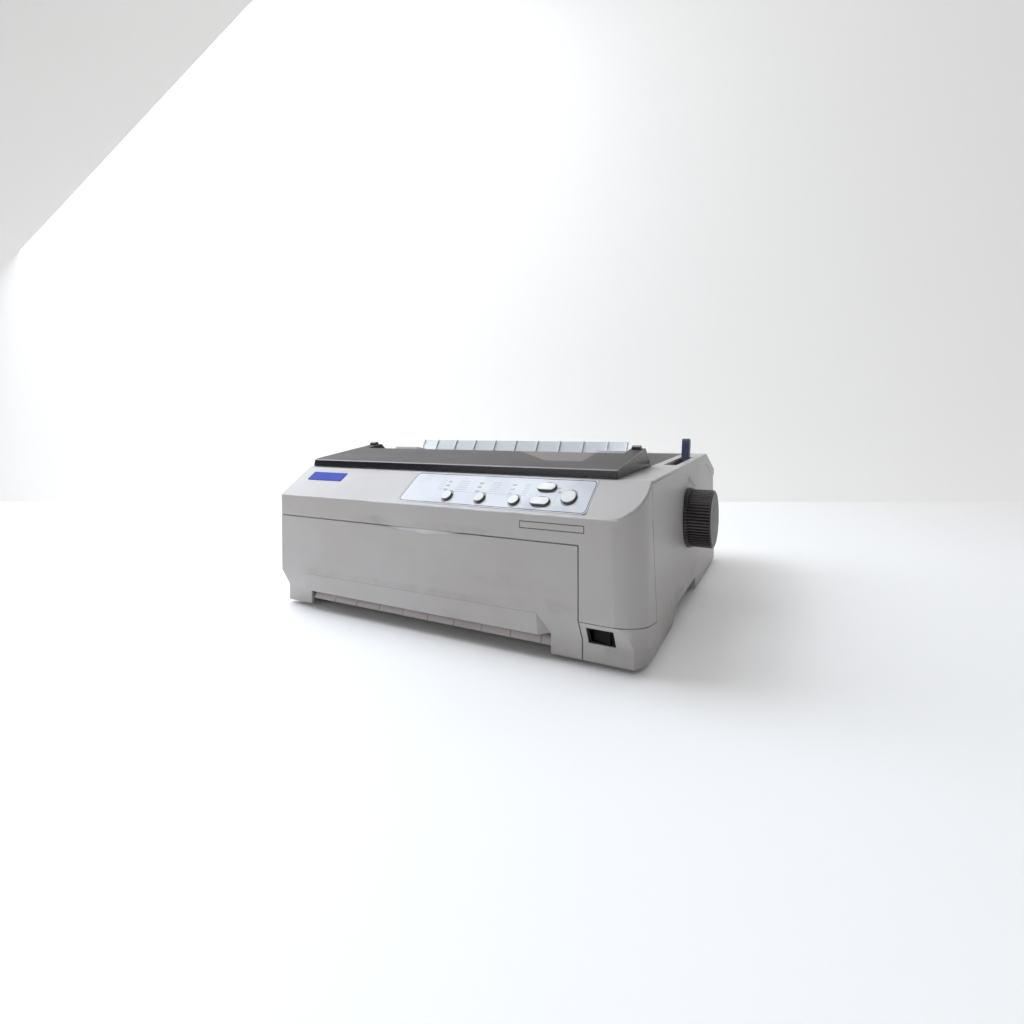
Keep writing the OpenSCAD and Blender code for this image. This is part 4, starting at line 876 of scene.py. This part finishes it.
def roomy(edge: bmesh.types.BMEdge, radius: float) -> bool:
    """Say whether both faces of an edge are deep enough for a rounding of that radius."""
    start, end = (v.co for v in edge.verts)
    line = end - start
    length = line.length
    if length < 1e-7:
        return False
    along = line / length
    for face in edge.link_faces:
        for loop in face.loops:
            if loop.vert in edge.verts:
                if loop.calc_angle() < SHARPEST_CORNER:
                    return False
                continue
            arm = loop.vert.co - start
            step = arm.dot(along)
            depth = (arm - along * step).length
            if 1e-6 < depth < LEAST_DEPTH_SHARE * radius and -1e-5 < step < length + 1e-5:
                return False
    return True


def bevel(shape: bmesh.types.BMesh, edges: list, radius_mm: float, segments: int) -> None:
    """Round those of the given edges that have room for it."""
    edges = [e for e in edges if roomy(e, radius_mm * MM)]
    bmesh.ops.bevel(
        shape, geom=edges, offset=radius_mm * MM, offset_type="OFFSET", segments=segments, profile=0.5,
        affect="EDGES", clamp_overlap=False, material=-1, loop_slide=True,
    )


@dataclass(frozen=True)
class EdgeRule:
    """Edges in a box of the casing, in millimetres, that get a radius of their own."""

    low: tuple[float, float, float]
    high: tuple[float, float, float]
    radius_mm: float
    segments: int = 3

    def pick(self, edges: list[bmesh.types.BMEdge]) -> list[bmesh.types.BMEdge]:
        """List the edges that lie in the box."""
        low, high = corner(*self.low), corner(*self.high)
        return [e for e in edges if all(inside(v.co, low, high) for v in e.verts)]


@dataclass
class RoundedNode:
    """A CAD node's own shape with its sharp edges rounded."""

    node: str
    radius_mm: float = 0.4
    segments: int = 2
    rules: tuple[EdgeRule, ...] = ()
    carve: Callable[[bmesh.types.BMesh], None] | None = None
    spared: tuple[tuple, tuple] | None = None

    def edges(self, shape: bmesh.types.BMesh) -> list[bmesh.types.BMEdge]:
        """List the sharp edges outside the place that stays as it is."""
        found = sharp_edges(shape, SHARP_DEG)
        if self.spared is None:
            return found
        low, high = (corner(*place) for place in self.spared)
        return [e for e in found if not inside((e.verts[0].co + e.verts[1].co) / 2, low, high)]

    def build(self) -> bpy.types.Object:
        """Make the piece, which stands for the node."""
        shape = bmesh.new()
        shape.from_mesh(frame["nodes"][self.node].data)
        bmesh.ops.remove_doubles(shape, verts=shape.verts, dist=MERGE_MM * MM)
        flat = math.radians(FLAT_DEG)
        bmesh.ops.dissolve_limit(shape, angle_limit=flat, verts=shape.verts, edges=shape.edges)
        for rule in self.rules:
            picked = rule.pick(self.edges(shape))
            if picked:
                bevel(shape, picked, rule.radius_mm, rule.segments)
        if self.radius_mm:
            bevel(shape, self.edges(shape), self.radius_mm, self.segments)
        if self.carve:
            self.carve(shape)
        piece = as_piece(shape, self.node + "_skin", SLOT_OF[self.node], BODY_OF[self.node])
        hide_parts(self.node)
        return piece


def dress_nodes() -> None:
    """Give every CAD node the material of its slot."""
    for name, node in frame["nodes"].items():
        node.data.materials.clear()
        node.data.materials.append(PAINTS.get(SLOT_OF[name]))


# Added pieces -----------------------------------------------------------------------


def slab(shape: bmesh.types.BMesh, low: tuple, high: tuple) -> list[bmesh.types.BMVert]:
    """Add a box between two corner places in millimetres and give its vertices."""
    a, b = corner(*low), corner(*high)
    place = Matrix.Translation((a + b) / 2) @ Matrix.Diagonal((*(b - a), 1.0))
    return bmesh.ops.create_cube(shape, size=1.0, matrix=place)["verts"]


def strip(shape: bmesh.types.BMesh, path: tuple, width_mm: float, x_low: float, x_high: float) -> None:
    """Add a flat bar of even width along a path of (y, z) places on a side wall.

    Args:
        shape: the mesh that gets it.
        path: places in millimetres.
        width_mm: the bar's width.
        x_low: where the bar starts, sunk in the wall.
        x_high: its outer face.
    """
    half = width_mm / 2
    rails = []
    for i, (y, z) in enumerate(path):
        before, after = path[max(i - 1, 0)], path[min(i + 1, len(path) - 1)]
        dy, dz = after[0] - before[0], after[1] - before[1]
        size = math.hypot(dy, dz)
        ny, nz = -dz / size * half, dy / size * half
        rails.append([(x, y + s * ny, z + s * nz) for x in (x_low, x_high) for s in (-1, 1)])
    rings = [[shape.verts.new(corner(*place)) for place in ring] for ring in rails]
    for first, second in zip(rings, rings[1:]):
        for i, j in ((0, 1), (1, 3), (3, 2), (2, 0)):
            shape.faces.new((first[i], first[j], second[j], second[i]))
    for ring in (rings[0], rings[-1]):
        shape.faces.new((ring[0], ring[1], ring[3], ring[2]))
    bmesh.ops.recalc_face_normals(shape, faces=shape.faces)


@dataclass(frozen=True)
class TurnArrow:
    """Raised arrow over the knob that shows which way it turns."""

    wall_x: float = 412.6
    sunk: float = 0.2
    proud: float = 0.35
    width: float = 1.1
    path: tuple = (
        (182.0, 135.0), (187.3, 135.7), (193.0, 134.0), (198.5, 131.2), (207.5, 127.2), (216.3, 123.0)
    )
    head: tuple = ((186.6, 139.0), (181.4, 135.0), (186.4, 131.6))

    def build(self) -> None:
        """Make the arrow."""
        shape = bmesh.new()
        for path in (self.path, self.head):
            strip(shape, path, self.width, self.wall_x - self.sunk, self.wall_x + self.proud)
        as_piece(shape, "turn_arrow", "case_plastic", Body.CASING)


@dataclass(frozen=True)
class LabelPlate:
    """Blank plate in the shallow place on the front strip, on a dark sheet that shows round it as painted
    shade of its gap.
    """

    def build(self) -> None:
        """Make the plate."""
        # Painted shade: a dark grey sheet behind the plate shows round its edge as the shaded gap.
        shade_sheet = bmesh.new()
        slab(shade_sheet, (306.1, 0.38, 109.1), (366.9, 0.48, 115.4))
        as_piece(shade_sheet, "label_gap_shade", "mark_grey", Body.CASING)
        shape = bmesh.new()
        slab(shape, (306.8, 0.08, 109.8), (366.2, 0.45, 114.7))
        bevel(shape, list(shape.edges), 0.12, 2)
        as_piece(shape, "label_plate", "case_plastic", Body.CASING)


@dataclass(frozen=True)
class PathMarks:
    """Two small printed marks beside the lever: a sheet and a strip with pin holes."""

    lift: float = 0.12
    thick: float = 0.3
    line: float = 0.7
    deck_y: float = 33.0
    deck_z: float = 150.0
    deck_rise: float = 10.0 / 252.0

    def deck(self, y: float) -> float:
        """Height of the deck at a depth, both in millimetres."""
        return self.deck_z + (y - self.deck_y) * self.deck_rise

    def bar(self, shape: bmesh.types.BMesh, x0: float, x1: float, y0: float, y1: float) -> None:
        """Add one thin bar on the deck."""
        for vert in slab(shape, (x0, y0, 0.0), (x1, y1, self.thick)):
            y = (vert.co.y - CORNER.y) / MM
            vert.co.z += (self.deck(y) - self.thick + self.lift) * MM

    def outline(self, shape: bmesh.types.BMesh, x0: float, x1: float, y0: float, y1: float) -> None:
        """Add a rectangle of four bars."""
        line = self.line
        self.bar(shape, x0, x1, y0, y0 + line)
        self.bar(shape, x0, x1, y1 - line, y1)
        self.bar(shape, x0, x0 + line, y0 + line, y1 - line)
        self.bar(shape, x1 - line, x1, y0 + line, y1 - line)

    def build(self) -> None:
        """Make both marks."""
        shape = bmesh.new()
        for y0, y1 in ((160.0, 172.0), (194.0, 208.0)):
            self.outline(shape, 384.6, 391.0, y0, y1)
        for i in range(4):
            for x0 in (385.9, 388.7):
                self.bar(shape, x0, x0 + 1.0, 196.2 + i * 3.0, 197.4 + i * 3.0)
        as_piece(shape, "path_marks", "mark_white", Body.CASING)


@dataclass(frozen=True)
class SocketMetal:
    """Metal shells, clips and blades of the sockets in the rear wall."""

    wire_radius: float = 0.6

    def frame(self, shape: bmesh.types.BMesh, x: tuple, z: tuple, y: tuple, wall: float) -> None:
        """Add a rectangular collar between two depths."""
        slab(shape, (x[0], y[0], z[0]), (x[1], y[1], z[0] + wall))
        slab(shape, (x[0], y[0], z[1] - wall), (x[1], y[1], z[1]))
        slab(shape, (x[0], y[0], z[0] + wall), (x[0] + wall, y[1], z[1] - wall))
        slab(shape, (x[1] - wall, y[0], z[0] + wall), (x[1], y[1], z[1] - wall))

    def wire(self, shape: bmesh.types.BMesh, place: Matrix, length: float) -> None:
        """Add one round wire of a clip."""
        radius = self.wire_radius * MM
        bmesh.ops.create_cone(
            shape, cap_ends=True, segments=12, radius1=radius, radius2=radius, depth=length * MM, matrix=place
        )

    def build(self) -> None:
        """Make the parallel socket's shell, clips and contacts, and the USB socket's shell."""
        shape = bmesh.new()
        self.frame(shape, (60.7, 119.3), (23.7, 32.3), (340.0, 349.7), 0.5)
        self.frame(shape, (136.8, 147.2), (22.3, 32.7), (340.0, 349.7), 0.5)
        bevel(shape, list(shape.edges), 0.12, 1)
        as_piece(shape, "socket_shells", "steel_plate", Body.CASING)
        clips = bmesh.new()
        lying = Matrix.Rotation(math.pi / 2, 4, "X")
        for x in (58.2, 121.8):
            for z in (25.2, 30.8):
                self.wire(clips, Matrix.Translation(corner(x, 347.5, z)) @ lying, 5.0)
            self.wire(clips, Matrix.Translation(corner(x, 349.3, 28.0)), 6.6)
        as_piece(clips, "parallel_clips", "steel_shaft", Body.CASING)
        pins = bmesh.new()
        for i in range(18):
            for z in (26.35, 29.25):
                x = 64.3 + i * 3.02
                slab(pins, (x, 336.8, z - 0.08), (x + 1.2, 343.4, z + 0.48))
        as_piece(pins, "parallel_contacts", "socket_brass", Body.CASING)


@dataclass(frozen=True)
class RibbonStrip:
    """Inked ribbon that the cartridge's arms hold in front of the platen."""

    def build(self) -> None:
        """Dress the cartridge's ribbon with a woven sleeve."""
        shape = bmesh.new()
        slab(shape, (60.0, 101.2, 93.0), (332.0, 101.35, 105.0))
        bmesh.ops.recalc_face_normals(shape, faces=shape.faces)
        as_piece(shape, "ribbon_strip", "ink_ribbon", Body.CASING)


@dataclass(frozen=True)
class PullLip:
    """Hollowed lip in the crescent of the front cover's finger pull, rubbed by fingers and painted near white
    as a highlight where it tilts up to the light.
    """

    middle_x: float = 198.5
    low_z: float = 94.8
    high_z: float = 98.35
    radius: float = 257.98
    floor_y: float = 1.79
    steps: int = 56

    def build(self) -> None:
        """Make the lip as a bar that thins out to both ends."""
        shape = bmesh.new()
        half = math.sqrt(self.radius**2 - (self.low_z + self.radius - self.high_z) ** 2) - 0.4
        rings = []
        for i in range(self.steps + 1):
            dx = half * (2.0 * i / self.steps - 1.0)
            low = self.low_z + self.radius - math.sqrt(self.radius**2 - dx**2)
            share = (self.high_z - low) / (self.high_z - self.low_z)
            back = 0.55 + 1.2 * share
            front = 0.1 + 0.45 * share
            bend = low + 0.42 * (self.high_z - low)
            ring = [(front, low + 0.02), (front + 0.78 * (back - front), bend), (back, self.high_z)]
            ring += [(self.floor_y, self.high_z), (self.floor_y, low + 0.02)]
            rings.append([shape.verts.new(corner(self.middle_x + dx, y, z)) for y, z in ring])
        for first, second in zip(rings, rings[1:]):
            for i in range(5):
                j = (i + 1) % 5
                shape.faces.new((first[i], first[j], second[j], second[i]))
        for ring in (rings[0], rings[-1]):
            shape.faces.new(ring)
        bmesh.ops.recalc_face_normals(shape, faces=shape.faces)
        as_piece(shape, "pull_lip", "rubbed_and_highlit_plastic", Body.FRONT_COVER)


@dataclass(frozen=True)
class PullScoop:
    """Shallow hollow under the front cover's finger pull, pressed into its skin."""

    x: tuple[float, float] = (136.0, 262.0)
    z: tuple[float, float] = (56.0, 97.6)
    middle: tuple[float, float] = (198.5, 85.0)
    reach: tuple[float, float] = (58.0, 27.0)
    depth_mm: float = 1.1
    pitch_mm: float = 3.0

    def carve(self, shape: bmesh.types.BMesh) -> None:
        """Cut a grid into the front face and press it in smoothly."""
        low, high = corner(self.x[0], -1.0, self.z[0]), corner(self.x[1], 0.3, self.z[1])
        for axis, (start, stop) in ((0, self.x), (2, self.z)):
            for i in range(int((stop - start) / self.pitch_mm) + 1):
                place = [start, 0.0, start]
                place[axis] = start + i * self.pitch_mm
                normal = [0.0, 0.0, 0.0]
                normal[axis] = 1.0
                near = [
                    f for f in shape.faces
                    if f.normal.y < -0.95 and all(v.co.y < high.y for v in f.verts)
                    and f.calc_center_median().z > corner(0, 0, 40).z
                ]
                around = {v for f in near for v in f.verts} | {e for f in near for e in f.edges}
                geom = list(around | set(near))
                bmesh.ops.bisect_plane(
                    shape, geom=geom, dist=1e-7, plane_co=corner(*place), plane_no=normal
                )
        for vert in shape.verts:
            if not inside(vert.co, low, high):
                continue
            x, _, z = (vert.co - CORNER) / MM
            far = math.hypot((x - self.middle[0]) / self.reach[0], (z - self.middle[1]) / self.reach[1])
            if far < 1.0:
                vert.co.y += self.depth_mm * MM * (0.5 + 0.5 * math.cos(math.pi * far)) ** 1.2


PIECES = (TurnArrow(), LabelPlate(), PathMarks(), SocketMetal(), RibbonStrip(), PullLip())


# Camera, light and room ---------------------------------------------------------------


@dataclass(frozen=True)
class Lamp:
    """One rectangular soft light."""

    name: str
    place: tuple[float, float, float]
    target: tuple[float, float, float]
    size: tuple[float, float]
    power: float
    colour: Colour

    def build(self) -> None:
        """Hang the light so that it faces its target."""
        data = bpy.data.lights.new(self.name, "AREA")
        data.shape, data.energy, data.color = "RECTANGLE", self.power, self.colour
        data.size, data.size_y = self.size
        light = bpy.data.objects.new(self.name, data)
        light.location = self.place
        aim = Vector(self.target) - Vector(self.place)
        light.rotation_euler = aim.to_track_quat("-Z", "Y").to_euler()
        bpy.context.scene.collection.objects.link(light)


LAMPS = (
    Lamp("sky_left", (-1.15, -0.15, 1.15), (0.0, -0.1, 0.12), (0.8, 1.3), 17.0, (0.86, 0.925, 1.0)),
    Lamp("sky_mid", (-0.5, -0.16, 1.35), (0.05, -0.13, 0.12), (0.6, 0.6), 5.0, (0.86, 0.925, 1.0)),
    Lamp("front_fill", (-1.0, -2.1, 1.0), (0.0, 0.0, 0.1), (1.4, 1.0), 7.4, (1.0, 0.97, 0.945)),
    Lamp("wall_wash", (0.5, -0.3, 2.2), (0.6, 0.72, 0.7), (2.6, 0.5), 6.5, (1.0, 0.99, 0.97)),
    Lamp("right_glint", (1.5, -0.7, 0.95), (0.2, 0.05, 0.12), (0.5, 0.5), 0.15, (1.0, 0.95, 0.9)),
)


@dataclass
class Room:
    """Pale floor, wall, soft light and the photograph's camera."""

    eye: Vector = field(default_factory=lambda: Vector((0.29895, -0.50021, 0.1924)))
    yaw_deg: float = 21.78
    pitch_deg: float = 0.6
    lens_mm: float = 15.86
    shift: tuple[float, float] = (-0.0969, -0.076)
    wall_away: float = 1.195
    half: float = 3.0
    sky: Colour = (0.94, 0.965, 1.0)
    sky_strength: float = 0.1

    def plane(self, place: Matrix, finish: "Studio") -> None:
        """Add one square of floor or wall.

        Args:
            place: where it stands.
            finish: its paint, whose name it takes.
        """
        shape = bmesh.new()
        bmesh.ops.create_grid(shape, x_segments=1, y_segments=1, size=self.half)
        bmesh.ops.transform(shape, matrix=place, verts=shape.verts)
        mesh = bpy.data.meshes.new(finish.name)
        shape.to_mesh(mesh)
        shape.free()
        mesh.materials.append(finish.build())
        square = bpy.data.objects.new(finish.name, mesh)
        bpy.context.scene.collection.objects.link(square)

    def build(self) -> None:
        """Make the room."""
        scene = bpy.context.scene
        scene.view_settings.view_transform = "Standard"
        data = bpy.data.cameras.new("camera")
        data.sensor_width, data.lens = SENSOR_MM, self.lens_mm
        data.shift_x, data.shift_y = self.shift
        data.clip_start, data.clip_end = 0.01, 20.0
        camera = bpy.data.objects.new("camera", data)
        camera.location = self.eye
        yaw = math.radians(self.yaw_deg)
        camera.rotation_euler = (math.radians(90.0 - self.pitch_deg), 0.0, yaw)
        scene.collection.objects.link(camera)
        scene.camera = camera
        ahead = Vector((-math.sin(yaw), math.cos(yaw), 0.0))
        wall_at = Vector((self.eye.x, self.eye.y, 0.0)) + ahead * self.wall_away
        upright = Matrix.Rotation(yaw, 4, "Z") @ Matrix.Rotation(math.pi / 2, 4, "X")
        stand = Matrix.Translation(wall_at) @ upright
        self.plane(Matrix.Identity(4), Studio("floor", (0.93, 0.93, 0.935), 0.6, 0.17))
        self.plane(stand, Studio("wall", (0.62, 0.617, 0.61), 0.7, 0.68))
        world = bpy.data.worlds.new("room_light")
        world.use_nodes = True
        background = world.node_tree.nodes["Background"]
        background.inputs["Color"].default_value = (*self.sky, 1.0)
        background.inputs["Strength"].default_value = self.sky_strength
        scene.world = world
        for lamp in LAMPS:
            lamp.build()


SMALL_ROUNDINGS = {
    "control_bezel": 0.15, "badge_plate": 0.25, "sheet_guide": 0.3, "left_edge_guide": 0.4,
    "right_edge_guide": 0.4, "power_rocker": 0.3, "switch_housing": 0.3,
}
BUTTON_ROUNDINGS = {
    "font_button": 0.5, "pitch_button": 0.5, "tear_off_button": 0.5, "line_feed_button": 0.5,
    "load_button": 0.5, "pause_button": 0.6,
}
# Rounding the hidden edges under the front of the lid's opening would draw a face across it.
OPENING_FRONT = ((-1, 34, 146.5), (416, 37.5, 147.5))
# Rounding the slanting crease beside the power switch would leave a black sliver.
SWITCH_CREASE = ((384, -1, 19), (413, 13, 36.8))
ROUNDED = (
    RoundedNode("upper_case", 0.4, 2, rules=(
        EdgeRule((-1, -1, 119), (415, 28, 124), 0.9),
        EdgeRule((380, 1, 119), (415, 60, 153), 1.6),
        EdgeRule((-1, 25, 147), (415, 35, 153), 0.9),
    ), spared=OPENING_FRONT),
    RoundedNode("lower_case", 0.4, 2, spared=SWITCH_CREASE),
    RoundedNode("front_cover", 0.4, 2, carve=PullScoop().carve),
    RoundedNode("printer_cover", 0.5, 3),
    *(RoundedNode(node, radius_mm) for node, radius_mm in SMALL_ROUNDINGS.items()),
    *(RoundedNode(node, radius_mm, 3) for node, radius_mm in BUTTON_ROUNDINGS.items()),
)


def main() -> None:
    """Build the room, dress the nodes and add the pieces."""
    logging.basicConfig(level=logging.INFO, format="%(message)s")
    Room().build()
    dress_nodes()
    for part in (*ROUNDED, *PIECES):
        part.build()


if __name__ == "__main__":
    main()
